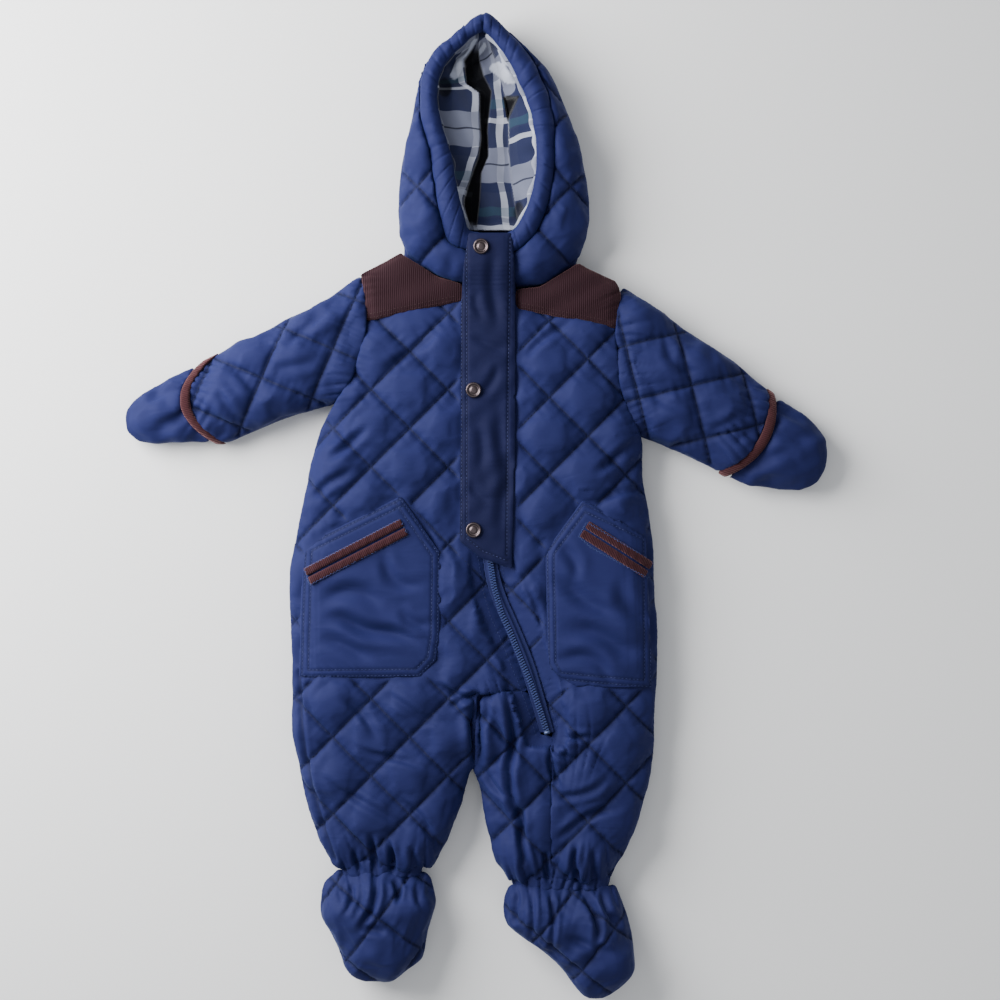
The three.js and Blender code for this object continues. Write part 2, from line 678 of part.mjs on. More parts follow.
function armRing(row, quilt, puff, grow) {
  const size = across(row, 0).size;
  const reach = Math.min(SLEEVE_ROUND, size);
  const level = UNDERSIDE;
  const point = (t, z) => {
    const p = across(row, t * (1 + grow / size));
    return [p.x, p.y, z, t * size];
  };
  const crown = (t) => rise((1 - Math.abs(t)) * size, reach);
  const upper = ARM_OVER.map((t) => {
    const puffed = puff * diamondsAlong(across(row, t), quilt);
    return point(t, level + (row.top - level + puffed + grow) * crown(t));
  });
  const lower = ARM_UNDER.map((t) => {
    return point(t, level * (1 - rise((1 - Math.abs(t)) * size, reach * UNDER_ROUND)));
  });
  return [...upper, ...lower];
}

// Quilting turned to run with a sleeve
function diamondsAlong(p, quilt) {
  const dx = p.x - quilt.x;
  const dy = p.y - quilt.y;
  const turn = THREE.MathUtils.degToRad(quilt.turn);
  const x = dx * Math.cos(turn) + dy * Math.sin(turn);
  const y = -dx * Math.sin(turn) + dy * Math.cos(turn);
  return diamonds(x, y, { x: 0, y: 0 });
}

// The flat opening inside an arm: its share of the width, and half its height in the middle and at its ends
const SLIT = { share: 0.7, middle: 0.8, ends: 0.5 };
function slitRing(row) {
  const size = across(row, 0).size;
  const fall = SLIT.middle - SLIT.ends;
  const over = [-1, -0.5, 0, 0.5, 1].map((s) => [s * SLIT.share, SLIT.middle - fall * Math.abs(s)]);
  const under = over.toReversed().map(([t, up]) => [t, -up]);
  return [...over, ...under].map(([t, up]) => {
    const p = across(row, t);
    return [p.x, p.y, MIDDLE + up, t * size];
  });
}

// An upright block over the stretch of an arm between two lines
const ARM_HEIGHTS = [-1, 60]; // from below an arm to above it
const stretch = (from, to) => block([...from, ...to], ...ARM_HEIGHTS);

// Each arm is shaped as a whole, then cut into sleeve, trim and mitt along its seam lines
const ARMS = [
  { side: "right", table: ARM_RIGHT, quilt: { x: -211, y: 120, turn: 22 } },
  { side: "left", table: ARM_LEFT, quilt: { x: 161, y: 139, turn: -31 } },
];
const SLIT_END = 4; // this many rows of the table, at the mitt's tip, are closed
const ARM_ROWS = 18;
const BEYOND = { x: 400, low: -60, high: 260 }; // past the hands
const WIDE = 1.3; // how far a cutting block reaches past the arm's edges, in half widths
for (const { side, table, quilt } of ARMS) {
  const last = table.length - 1;
  const rows = refine(table, spread(0, last, ARM_ROWS)).rows;
  const slit = loft(table.slice(0, last + 1 - SLIT_END).map((row) => slitRing(row)));
  const arm = loft(rows.map((row) => armRing(row, quilt, PUFF, 0))).subtract(slit);
  const plain = loft(table.map((row) => armRing(row, quilt, 0, 0))).subtract(slit);
  const raised = loft(table.map((row) => armRing(row, quilt, 0, TRIM_RAISED))).subtract(slit);
  const mouth = MITT_MOUTH[side];
  const hand = side === "right" ? -BEYOND.x : BEYOND.x;
  const beyond = [
    { x: hand, y: BEYOND.high },
    { x: hand, y: BEYOND.low },
  ];
  const shoulder = seamLine(ARMHOLE[side], HALF_GAP, WIDE);
  const sleeveEnd = seamLine(mouth, -HALF_GAP, WIDE).toReversed();
  const trimStart = seamLine(mouth, HALF_GAP, WIDE);
  const trimEnd = seamLine(mouth, TRIM_WIDTH - HALF_GAP, WIDE).toReversed();
  const sleeveBlock = stretch(shoulder, sleeveEnd);
  const trimBlock = stretch(trimStart, trimEnd);
  const mittBlock = stretch(seamLine(mouth, TRIM_WIDTH + HALF_GAP, WIDE), beyond);
  addPiece(`sleeve_${side}`, arm.intersect(sleeveBlock), "shell");
  addPiece(`mitt_trim_${side}`, raised.intersect(trimBlock), "corduroy");
  addPiece(`mitt_${side}`, plain.intersect(mittBlock), "shell");
}

// Feet: an upper over a sole, with the ankle's gathered elastic above them
const FOOT = { ankleTop: 30, instep: 26, round: 30, soleRound: 12 };
function footHeight(x, y, rows, x0, x1) {
  const toe = rows.at(-1).y;
  const d = Math.min(x - x0, x1 - x, (y - toe) * 0.9);
  const heel = THREE.MathUtils.smoothstep(rows[0].y - y, 0, FOOT.instep);
  const top = FOOT.ankleTop + (FOOT_TOP - FOOT.ankleTop) * heel;
  return MIDDLE + EDGE + (top - MIDDLE - EDGE) * rise(d, FOOT.round);
}
// Places from one side of a foot or ankle to the other, as shares of its width
const UPPER_SHARES = [0, 0.05, 0.14, 0.26, 0.38, 0.5, 0.62, 0.74, 0.86, 0.95, 1];
const SOLE_SHARES = [1, 0.96, 0.88, 0.5, 0.12, 0.04, 0];
const CUFF_SHARES = [0.96, 0.85, 0.5, 0.15, 0.04];

// The ankle's elastic: its gathers, their depth, its height over the middle, its roundings, and its slit
const ELASTIC = { gathers: 10, fold: 1.6, high: 13, topRound: 16, underRound: 9, level: MIDDLE - 2 };
const CUFF_SLIT = { in: 12, high: 0.5 };
// Rows of the elastic: how far down from the ankle line, and how much fuller than its middle
const CUFF_ROWS = [
  { down: GAP, fuller: 3 },
  { down: 4, fuller: 0 },
  { down: CUFF / 2, fuller: -1 },
  { down: CUFF - 4, fuller: 0 },
  { down: CUFF, fuller: 3 },
];

const FEET = [
  { side: "right", rows: FOOT_RIGHT, edges: [rightEdge, innerRight], ankle: ANKLE.right },
  { side: "left", rows: FOOT_LEFT, edges: [innerLeft, leftEdge], ankle: ANKLE.left },
];
for (const { side, rows, edges, ankle } of FEET) {
  const fine = refine(rows, spread(0, rows.length - 1, 2 * (rows.length - 1))).rows;
  const upper = loft(
    fine.map(({ y, x0, x1 }) => {
      const xs = UPPER_SHARES.map((s) => x0 + (x1 - x0) * s);
      const base = MIDDLE + HALF_GAP;
      return [
        ...xs.map((x) => [x, y, footHeight(x, y, rows, x0, x1), x]),
        [x1, y, base, x1],
        [x0, y, base, x0],
      ];
    }),
  );
  const sole = loft(
    rows.map(({ y, x0, x1 }) => {
      const toe = rows.at(-1).y;
      const xs = SOLE_SHARES.map((s) => x0 + (x1 - x0) * s);
      const inside = (x) => Math.min(x - x0, x1 - x, y - toe);
      const lift = (x) => (MIDDLE - EDGE) * (1 - rise(inside(x), FOOT.soleRound));
      const top = MIDDLE - HALF_GAP;
      return [[x0, y, top, x0], [x1, y, top, x1], ...xs.map((x) => [x, y, lift(x), x])];
    }),
  );
  addPiece(`foot_${side}`, upper, "shell");
  addPiece(`sole_${side}`, sole, "shell");

  const cuffRing = ({ down, fuller }) => {
    const y = ankle - down;
    const x0 = edges[0](y) + HALF_GAP;
    const x1 = edges[1](y) - HALF_GAP;
    const inside = (x) => Math.min(x - x0, x1 - x);
    const over = spread(0, 1, 2 * ELASTIC.gathers).map((s, i) => {
      const fold = i % 2 ? ELASTIC.fold : 0;
      const x = x0 + (x1 - x0) * s;
      const high = ELASTIC.high + fold + fuller;
      return [x, y, ELASTIC.level + high * rise(inside(x), ELASTIC.topRound), x];
    });
    const under = CUFF_SHARES.map((s) => {
      const x = x0 + (x1 - x0) * s;
      return [x, y, ELASTIC.level * (1 - rise(inside(x), ELASTIC.underRound)), x];
    });
    return [...over, ...under];
  };
  const slit = ({ down }) => {
    const y = ankle - down;
    const x0 = edges[0](y) + CUFF_SLIT.in;
    const x1 = edges[1](y) - CUFF_SLIT.in;
    return [
      [x0, y, MIDDLE + CUFF_SLIT.high, x0],
      [x1, y, MIDDLE + CUFF_SLIT.high, x1],
      [x1, y, MIDDLE - CUFF_SLIT.high, x1],
      [x0, y, MIDDLE - CUFF_SLIT.high, x0],
    ];
  };
  addPiece(`ankle_${side}`, loft(CUFF_ROWS.map(cuffRing), CUFF_ROWS.map(slit)), "shell");
}

// Hood: back panel on the surface, two quilted sides, gathered casing and the check lining
const hoodAt = refine(HOOD, []).at;
const hoodLine = (from, to, column) => {
  const rows = HOOD.slice(from, to + 1);
  return smooth(rows.map((row) => ({ x: row[`${column}X`], y: row[`${column}Y`] })));
};
// The back panel follows the hood's outline, from these rows of the table to the peak
const BACK_PANEL = {
  right: { row: 3, neck: { x: -59.9, y: 190 } },
  left: { row: 18, neck: { x: 79.9, y: 194 } },
  ys: [NECK_BACK_Y + HALF_GAP, 195, 207, 222, 240, 262, 284, 306, 326, 342, 356, 368, 378, 386],
  peakY: 391,
};
const hoodRightEdge = edgeOf([
  ...hoodLine(BACK_PANEL.right.row, HOOD_PEAK, "edge"),
  BACK_PANEL.right.neck,
]);
const hoodLeftEdge = edgeOf([
  ...hoodLine(HOOD_PEAK, BACK_PANEL.left.row, "edge"),
  BACK_PANEL.left.neck,
]);
const hoodBack = loft(
  BACK_PANEL.ys.map((y) => {
    const x0 = hoodRightEdge(y);
    const x1 = hoodLeftEdge(y);
    const reach = backRound(x0, x1);
    const inside = (x) => Math.min(x - x0, x1 - x, (BACK_PANEL.peakY - y) * 1.5);
    const lift = (x) => (MIDDLE - EDGE) * (1 - rise(inside(x), reach));
    const top = MIDDLE - HALF_GAP;
    const under = undersideRow(x0, x1, reach).map((x) => [x, y, lift(x), x]);
    return [[x0, y, top, x0], [x1, y, top, x1], ...under];
  }),
);
addPiece("hood_back", hoodBack, "shell");

// A point of a hood section, w millimetres out from the opening's edge
function hoodPoint(row, w, z) {
  const out = new THREE.Vector2(row.seamX - row.openX, row.seamY - row.openY);
  const seam = out.length();
  const rest = new THREE.Vector2(row.edgeX - row.seamX, row.edgeY - row.seamY);
  const beyond = rest.length();
  const place = new THREE.Vector2(row.openX, row.openY);
  if (w <= seam) place.addScaledVector(out, w / seam);
  else place.add(out).addScaledVector(rest, (w - seam) / beyond);
  return [place.x, place.y, z, w];
}
function hoodWidths(row) {
  const seam = Math.hypot(row.seamX - row.openX, row.seamY - row.openY);
  return { seam, edge: seam + Math.hypot(row.edgeX - row.seamX, row.edgeY - row.seamY) };
}
// The hood's neck end is lower, down to the front it is sewn to: by how much, and over how many rows
const NECK_DROP = { depth: 9, rows: 3.5 };
function brimDrop(u) {
  const fromNeck = Math.min(u, HOOD.length - 1 - u);
  return NECK_DROP.depth * (1 - THREE.MathUtils.smoothstep(fromNeck, 0, NECK_DROP.rows));
}
// The hood's sides: places across the wall, its quilting, and the shape of its inner face
const WALL_SHARES = [0.02, 0.2, 0.4, 0.6, 0.8, 0.95, 1];
const HOOD_QUILT = { x: -47, y: 254 };
const HOOD_PUFF = { depth: 0.8 * PUFF, wide: 25 }; // a wall narrower than wide is puffed less
const INNER_FACE = { foot: 8, brim: 12.5, seam: 11.5, in: 3, edge: 2 };

function hoodRing(u) {
  const row = hoodAt(u);
  const { seam, edge } = hoodWidths(row);
  const wide = edge - seam;
  const drop = brimDrop(u);
  const high = HOOD_BRIM - drop;
  const fullness = HOOD_PUFF.depth * Math.min(1, wide / HOOD_PUFF.wide);
  const outer = WALL_SHARES.map((s) => {
    const w = seam + SEAM_GAP + (wide - SEAM_GAP) * s;
    const [x, y] = hoodPoint(row, w, 0);
    const puffed = fullness * diamonds(x, y, HOOD_QUILT) * (1 - s ** 4);
    const share = Math.pow(1 - Math.pow(s, 2.6), 0.6);
    return hoodPoint(row, w, HOOD_LOW + (high - HOOD_LOW) * share + puffed);
  });
  const foot = MIDDLE + HALF_GAP;
  const brim = seam + SEAM_GAP;
  return [
    ...outer,
    hoodPoint(row, edge - INNER_FACE.edge, foot),
    hoodPoint(row, edge - HOOD_WALL, foot),
    hoodPoint(row, edge - HOOD_WALL, foot + INNER_FACE.foot),
    hoodPoint(row, Math.min(brim, edge - INNER_FACE.in), high - INNER_FACE.brim),
    hoodPoint(row, brim, high - INNER_FACE.seam),
  ];
}
const seamStep = 0.012; // half the gap of the hood's crown seam, in rows
// Places along a side of the hood, in rows of the table, so many to a gather
const NECK_ROWS = [0.01, HOOD.length - 1.01];
const hoodSteps = (each) => ({
  right: spread(NECK_ROWS[0], HOOD_PEAK - seamStep, each * CASING.gathers.right),
  left: spread(HOOD_PEAK + seamStep, NECK_ROWS[1], each * CASING.gathers.left),
});
const underHood = frontRightPiece.add(frontLeftPiece).add(yokeRight).add(yokeLeft);
const hoodSides = {};
for (const [side, steps] of Object.entries(hoodSteps(1))) {
  hoodSides[side] = loft(steps.map(hoodRing)).subtract(backRight).subtract(underHood);
}
addPiece("hood_right", hoodSides.right, "shell");
addPiece("hood_left", hoodSides.left, "shell");

function casingRing(u, gathered) {
  const row = hoodAt(u);
  const { seam } = hoodWidths(row);
  const drop = brimDrop(u);
  const fold = gathered ? CASING.gather : 0;
  const low = CASING.low - drop;
  const high = CASING.high - drop + fold;
  // share of the casing's width out from the opening, and height
  const section = [
    { share: 0, z: low + 4 },
    { share: 0.03, z: high - 3 },
    { share: 0.4, z: high },
    { share: 0.82, z: high - 1.6 },
    { share: 1, z: high - 5.5 },
    { share: 1, z: low + 1.5 },
    { share: 0.6, z: low },
  ];
  return section.map(({ share, z }) => hoodPoint(row, share * (seam - fold * 0.2), z));
}
const casings = {};
for (const [side, steps] of Object.entries(hoodSteps(2))) {
  casings[side] = loft(steps.map((u, i) => casingRing(u, i % 2 === 1)));
}
addPiece("hood_casing_right", casings.right, "shell");
addPiece("hood_casing_left", casings.left, "shell");

// The lining: a dish behind the opening, its floor in soft lengthways folds
const openRight = edgeOf(hoodLine(1, HOOD_PEAK, "open"));
const openLeft = edgeOf(hoodLine(HOOD_PEAK, 19, "open"));
const LINING_END = { low: 221, high: 372 };
const LINING_ROWS = 13;
const LINING_COLUMNS = 11;
const LINING_CLEAR = 0.4; // in from the casing's edge
const DISH = { across: 3.2, along: 7 }; // how late the floor turns up to the rim
const LINING_FOLDS = [
  { x: 24, wide: 6, high: 5 },
  { x: -14, wide: 5, high: 3 },
];
function liningHeight(x, y, x0, x1) {
  const t = Math.abs((2 * (x - x0)) / (x1 - x0) - 1);
  const v = Math.abs((2 * (y - LINING_END.low)) / (LINING_END.high - LINING_END.low) - 1);
  const dish = Math.max(Math.pow(t, DISH.across), Math.pow(v, DISH.along));
  const folds = LINING_FOLDS.map((fold) => fold.high * Math.exp(-(((x - fold.x) / fold.wide) ** 2)));
  const fold = folds.reduce((sum, high) => sum + high * (1 - v ** 4), 0);
  return LINING.floor + (LINING.rim - LINING.floor) * dish + fold * (1 - dish);
}
const lining = loft(
  spread(LINING_END.low, LINING_END.high, LINING_ROWS).map((y) => {
    const fromNeck = THREE.MathUtils.clamp((y - LINING_END.low) / 9, 0, NECK_DROP.rows);
    const rim = LINING.rim - brimDrop(fromNeck);
    const x0 = openRight(y) + LINING_CLEAR;
    const x1 = openLeft(y) - LINING_CLEAR;
    const closer = (s) => s + 0.06 * Math.sin(2 * Math.PI * s);
    const xs = spread(0, 1, LINING_COLUMNS).map((s) => x0 + (x1 - x0) * closer(s));
    const lower = (x) => Math.min(0, rim - liningHeight(x, y, x0, x1));
    const top = xs.map((x) => [x, y, liningHeight(x, y, x0, x1) + lower(x), x]);
    return [...top, ...top.toReversed().map(([x, , z]) => [x, y, z - LINING.wall, x])];
  }),
);
addPiece("hood_lining", lining, "lining");

// Zip: the tape between the fronts with its chain as one raised band
const CHAIN = { half: 2.6, high: 1.6, chamfer: 0.5 };
const TAPE_WALL = 1.6;
const TAPE_CLEAR = 3.5; // from the tape's end to the end of its opening
const ZIP_TOP_Y = -30; // under the placket
const zipRows = spread(ZIP_TOP_Y, ZIP_END_Y + TAPE_CLEAR, 16);
const zipTape = loft(
  zipRows.map((y) => {
    const x0 = zipInner(y) + HALF_GAP;
    const x1 = zipOuter(y) - HALF_GAP;
    const mid = (x0 + x1) / 2;
    const crown = CHAIN.half - CHAIN.chamfer;
    const section = [
      { x: x0, z: ZIP_Z },
      { x: mid - CHAIN.half, z: ZIP_Z },
      { x: mid - crown, z: ZIP_Z + CHAIN.high },
      { x: mid + crown, z: ZIP_Z + CHAIN.high },
      { x: mid + CHAIN.half, z: ZIP_Z },
      { x: x1, z: ZIP_Z },
      { x: x1, z: ZIP_Z - TAPE_WALL },
      { x: x0, z: ZIP_Z - TAPE_WALL },
    ];
    return section.map(({ x, z }) => [x, y, z, x]);
  }),
);
addPiece("zip_tape", zipTape, "zip");

// A thin piece over the front, its top a gentle surface between two edges
function overlay(ys, x0, x1, height, bottom, count) {
  return loft(
    ys.map((y) => {
      const xs = spread(x0(y), x1(y), count);
      return [
        ...xs.map((x) => [x, y, height(x, y), x]),
        [x1(y), y, bottom(y), x1(y)],
        [x0(y), y, bottom(y), x0(y)],
      ];
    }),
  );
}

// Placket
const PLACKET_EDGE = {
  right: edgeOf([
    { x: -6, y: 216 },
    { x: -10, y: 190 },
    { x: -12, y: 160 },
    { x: -13, y: -27 },
    { x: 3.5, y: -40 },
    { x: 28.5, y: -49 },
  ]),
  left: edgeOf([
    { x: 28, y: 216 },
    { x: 31, y: 190 },
    { x: 32, y: 60 },
    { x: 29, y: -48.5 },
    { x: 29, y: -49 },
  ]),
};
const PLACKET_ROWS = [-49, -45, -40, -34, -27, 10, 50, 90, 130, 165, 174, 182, 190, 198, 217];
const PLACKET_COLUMNS = 6;
const PLACKET_ROUND = { depth: 1.2, reach: 5 }; // the rounding of its edges
const NECK_RISE = { high: 9, from: 166, to: 198 }; // up onto the hood's neck
const neckRise = (y) => NECK_RISE.high * THREE.MathUtils.smoothstep(y, NECK_RISE.from, NECK_RISE.to);
const placketHeight = (x, y) => {
  const inside = Math.min(x - PLACKET_EDGE.right(y), PLACKET_EDGE.left(y) - x);
  const rounded = PLACKET_ROUND.depth * (1 - rise(inside, PLACKET_ROUND.reach));
  return FRONT_TOP + PLACKET + neckRise(y) - rounded;
};
const placketBottom = (y) => FRONT_TOP - PLACKET_ROUND.depth + neckRise(y);
const placketFlap = overlay(
  PLACKET_ROWS,
  PLACKET_EDGE.right,
  PLACKET_EDGE.left,
  placketHeight,
  placketBottom,
  PLACKET_COLUMNS,
);
const placket = laidOn(placketFlap, [
  frontRightPiece,
  frontLeftPiece,
  hoodSides.right,
  hoodSides.left,
  casings.right,
  casings.left,
  yokeRight,
  yokeLeft,
]);
addPiece("placket", placket, "shell");

// Snap caps on the placket
const SNAPS = [
  { name: "snap_top", x: 4, y: 206 },
  { name: "snap_middle", x: -2, y: 93 },
  { name: "snap_bottom", x: -2, y: -18 },
];
// The cap's profile as shares of its radius and height: a rim round a shallow dish
const CAP = [
  { out: 0, up: 0 },
  { out: 1, up: 0 },
  { out: 1, up: 0.6 },
  { out: 0.9, up: 1 },
  { out: 0.72, up: 1 },
  { out: 0.6, up: 0.6 },
  { out: 0, up: 0.5 },
];
const CAP_SIDES = 20;
for (const { name, x, y } of SNAPS) {
  const cap = CAP.map(({ out, up }) => new THREE.Vector2(SNAP.radius * out, SNAP.height * up));
  const geometry = new THREE.LatheGeometry(cap, CAP_SIDES).rotateX(Math.PI / 2);
  const z = placketHeight(x, y) + GAP;
  addPiece(name, solidOf(geometry.translate(x, y, z)), "metal");
}

// Pockets and their welts
const POCKET_ROWS = 10;
const POCKET_COLUMNS = 7;
const POCKET_ROUND = { depth: 1.2, reach: 18 };
const WELT_STEPS = 8;
const WELT_ROUND = { down: 1, in: 1.2 };
const WELT_SUNK = 0.9; // into the pocket, which it is cut to lie on
const WELTS = [
  { name: "upper", near: WELT_SLIT, far: WELT_HALF },
  { name: "lower", near: -WELT_HALF, far: -WELT_SLIT },
];
for (const [side, pocket] of Object.entries(POCKETS)) {
  const inner = edgeOf(pocket.inner);
  const outer = edgeOf(pocket.outer);
  const [x0, x1] = side === "right" ? [outer, inner] : [inner, outer];
  const low = pocket.inner.at(-1).y;
  const high = pocket.inner[0].y;
  const ys = spread(low, high, POCKET_ROWS);
  const height = (x, y) => {
    const base = MIDDLE + EDGE;
    const share = rise(inFromEdge(x, y).side, SIDE_ROUND);
    const inside = Math.min(x - x0(y), x1(y) - x, y - low);
    const rounded = POCKET_ROUND.depth * rise(inside, POCKET_ROUND.reach);
    return base + (FRONT_TOP - base) * share + POCKET + rounded;
  };
  const front = side === "right" ? frontRightPiece : frontLeftPiece;
  const made = laidOn(overlay(ys, x0, x1, height, () => MIDDLE + 1, POCKET_COLUMNS), [front]);
  addPiece(`pocket_${side}`, made, "shell");

  const { from, to } = pocket.welt;
  const along = new THREE.Vector2(to.x - from.x, to.y - from.y);
  const up = new THREE.Vector2(-along.y, along.x).normalize();
  const top = (x, y) => height(x, y) + WELT;
  const shoulder = (x, y) => height(x, y) + WELT - WELT_ROUND.down;
  const deep = (x, y) => height(x, y) - WELT_SUNK;
  for (const { name, near, far } of WELTS) {
    const rings = spread(0, 1, WELT_STEPS).map((s) => {
      const mid = new THREE.Vector2(from.x, from.y).addScaledVector(along, s);
      const at = (w, z) => {
        const p = mid.clone().addScaledVector(up, w);
        return [p.x, p.y, z(p.x, p.y), w];
      };
      return [
        at(near, deep),
        at(near, shoulder),
        at(near + WELT_ROUND.in, top),
        at(far - WELT_ROUND.in, top),
        at(far, shoulder),
        at(far, deep),
      ];
    });
    addPiece(`welt_${name}_${side}`, laidOn(loft(rings), [made, front]), "corduroy");
  }
}

export default suit;
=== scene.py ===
# %% [markdown]
# # A baby's quilted snowsuit
#
# A navy padded snowsuit lies on its back on a pale floor and is seen from straight above. It has a
# hood with a gathered rim and a check flannel lining, brown corduroy yokes, fold-over mitts, two patch
# pockets, a placket with three snaps over a zip, and padded feet behind gathered ankles.
#
# The solids of the construction model give every piece its place and outline. Each one is copied here,
# given a finer surface, and worked up as cloth: padded pieces are blown up between their quilting
# lines, and single layers of cloth get creases that are listed one by one.

# %% Setup
import math

import bmesh
import bpy
import numpy as np
from mathutils import Matrix, Vector
from mathutils.bvhtree import BVHTree


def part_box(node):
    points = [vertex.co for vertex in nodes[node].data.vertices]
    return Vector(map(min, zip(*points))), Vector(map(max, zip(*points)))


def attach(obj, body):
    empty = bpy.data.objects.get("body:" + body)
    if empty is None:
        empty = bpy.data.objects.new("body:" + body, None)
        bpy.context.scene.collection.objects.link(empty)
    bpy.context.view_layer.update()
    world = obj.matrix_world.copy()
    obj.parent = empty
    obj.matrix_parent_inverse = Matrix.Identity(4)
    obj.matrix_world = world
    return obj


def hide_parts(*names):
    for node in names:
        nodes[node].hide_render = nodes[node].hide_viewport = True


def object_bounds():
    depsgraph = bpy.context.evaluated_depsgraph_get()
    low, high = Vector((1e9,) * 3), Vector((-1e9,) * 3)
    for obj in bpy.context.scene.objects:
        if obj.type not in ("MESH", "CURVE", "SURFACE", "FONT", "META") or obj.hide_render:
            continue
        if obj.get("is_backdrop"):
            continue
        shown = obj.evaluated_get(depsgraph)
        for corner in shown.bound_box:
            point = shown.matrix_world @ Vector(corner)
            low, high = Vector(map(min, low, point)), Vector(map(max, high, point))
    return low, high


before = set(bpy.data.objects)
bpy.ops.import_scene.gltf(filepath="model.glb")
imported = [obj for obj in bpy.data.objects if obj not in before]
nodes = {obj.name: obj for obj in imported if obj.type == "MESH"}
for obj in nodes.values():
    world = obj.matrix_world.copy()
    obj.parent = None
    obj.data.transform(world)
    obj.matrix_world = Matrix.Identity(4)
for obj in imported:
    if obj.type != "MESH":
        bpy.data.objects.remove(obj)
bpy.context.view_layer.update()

MM = 0.001

# %% [markdown]
# ## Camera, floor and light
#
# The photograph was taken from straight above with a normal lens, at a scale of 0.8 mm to a pixel.
# The camera hangs over the middle of the picture, a little to the left and below the suit's middle.

# %% Camera
PIXEL = 0.8
PICTURE = 1000
LENS, SENSOR = 85.0, 36.0
VIEW_X, VIEW_Y = 19.0, 5.8
OUTLINE_HEIGHT = 20.0

camera_data = bpy.data.cameras.new("camera")
camera_data.lens = LENS
camera_data.sensor_width = SENSOR
camera = bpy.data.objects.new("camera", camera_data)
bpy.context.scene.collection.objects.link(camera)
distance = PIXEL * PICTURE * LENS / SENSOR
camera.location = (VIEW_X * MM, VIEW_Y * MM, (distance + OUTLINE_HEIGHT) * MM)
bpy.context.scene.camera = camera
print("camera height", round(camera.location.z, 3))

# %% Floor
floor_mesh = bpy.data.meshes.new("floor")
WIDE = 4.0
floor_mesh.from_pydata(
    [(-WIDE, -WIDE, -0.0006), (WIDE, -WIDE, -0.0006), (WIDE, WIDE, -0.0006), (-WIDE, WIDE, -0.0006)],
    [],
    [(0, 1, 2, 3)],
)
floor = bpy.data.objects.new("floor", floor_mesh)
bpy.context.scene.collection.objects.link(floor)
floor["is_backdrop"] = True

# %% [markdown]
# The light is soft and comes from the upper left: the left sides of the puffs are lighter and the
# right sides of the body and the folds fall into shadow. A large area light does that, and a pale sky
# fills the shadows.

# %% Light
KEY = {"place": (-0.82, 0.44, 0.57), "size": 0.9, "power": 38.0}
FILL = {"place": (0.3, -0.9, 2.2), "size": 2.0, "power": 6.0}
SKY = 0.5


def area_light(name, place, size, power):
    data = bpy.data.lights.new(name, "AREA")
    data.size = size
    data.energy = power
    lamp = bpy.data.objects.new(name, data)
    bpy.context.scene.collection.objects.link(lamp)
    lamp.location = place
    lamp.rotation_euler = (-Vector(place)).to_track_quat("-Z", "Y").to_euler()
    return lamp


area_light("key", **KEY)
area_light("fill", **FILL)
world = bpy.data.worlds.new("sky")
world.use_nodes = True
background = world.node_tree.nodes["Background"]
background.inputs["Color"].default_value = (0.93, 0.96, 1.0, 1.0)
background.inputs["Strength"].default_value = SKY
bpy.context.scene.world = world

# %% [markdown]
# ## Materials
#
# All colours are written as they look on a screen, from 0 to 255, and are turned into linear light.
# Effects that several cloths share are node groups which give only a height or a mask, so that each
# material keeps its own surface shader.


# %% Colour and node helpers
def linear(red, green, blue):
    parts = [c / 255 for c in (red, green, blue)]
    return tuple(c / 12.92 if c <= 0.04045 else ((c + 0.055) / 1.055) ** 2.4 for c in parts) + (1.0,)


class Tree:
    """A node tree that is written with short calls: add a node, then join sockets by name."""

    def __init__(self, tree):
        self.tree = tree

    def add(self, kind, values=None, **settings):
        made = self.tree.nodes.new(kind)
        for name, value in settings.items():
            setattr(made, name, value)
        for name, value in (values or {}).items():
            made.inputs[name].default_value = value
        return made

    def join(self, source, output, target, socket):
        self.tree.links.new(source.outputs[output], target.inputs[socket])

    def math(self, operation, first, second=None):
        made = self.add("ShaderNodeMath", operation=operation)
        for place, value in ((0, first), (1, second)):
            if isinstance(value, tuple):
                self.tree.links.new(value[0].outputs[value[1]], made.inputs[place])
            elif value is not None:
                made.inputs[place].default_value = value
        return (made, 0)


def new_group(name, inputs, outputs):
    tree = bpy.data.node_groups.new(name, "ShaderNodeTree")
    for title, kind, value in inputs:
        socket = tree.interface.new_socket(title, in_out="INPUT", socket_type=kind)
        socket.default_value = value
    for title, kind in outputs:
        tree.interface.new_socket(title, in_out="OUTPUT", socket_type=kind)
    made = Tree(tree)
    start = made.add("NodeGroupInput")
    end = made.add("NodeGroupOutput")
    return made, start, end


# %% Soft creases, shared by the plain and the quilted cloth
t, start, end = new_group(
    "soft creases",
    [("Scale", "NodeSocketFloat", 40.0)],
    [("Height", "NodeSocketFloat"), ("Patch", "NodeSocketFloat")],
)
place = t.add("ShaderNodeTexCoord")
turned = t.add("ShaderNodeMapping")
turned.inputs["Rotation"].default_value = (0.0, 0.0, math.radians(35))
turned.inputs["Scale"].default_value = (1.0, 2.6, 1.0)
t.join(place, "Object", turned, "Vector")
broad = t.add("ShaderNodeTexNoise", {"Detail": 2.0, "Roughness": 0.45, "Distortion": 0.9})
t.join(turned, "Vector", broad, "Vector")
t.join(start, "Scale", broad, "Scale")
fine = t.add("ShaderNodeTexNoise", {"Detail": 3.0, "Roughness": 0.6, "Distortion": 0.4})
t.join(place, "Object", fine, "Vector")
finer = t.math("MULTIPLY", (start, "Scale"), 5.5)
t.tree.links.new(finer[0].outputs[0], fine.inputs["Scale"])
weak = t.math("MULTIPLY", (fine, "Fac"), 0.16)
height = t.math("ADD", (broad, "Fac"), weak)
t.tree.links.new(height[0].outputs[0], end.inputs["Height"])
patch = t.add("ShaderNodeTexNoise", {"Scale": 14.0, "Detail": 3.0, "Roughness": 0.55})
t.join(place, "Object", patch, "Vector")
t.join(patch, "Fac", end, "Patch")
soft_creases = t.tree

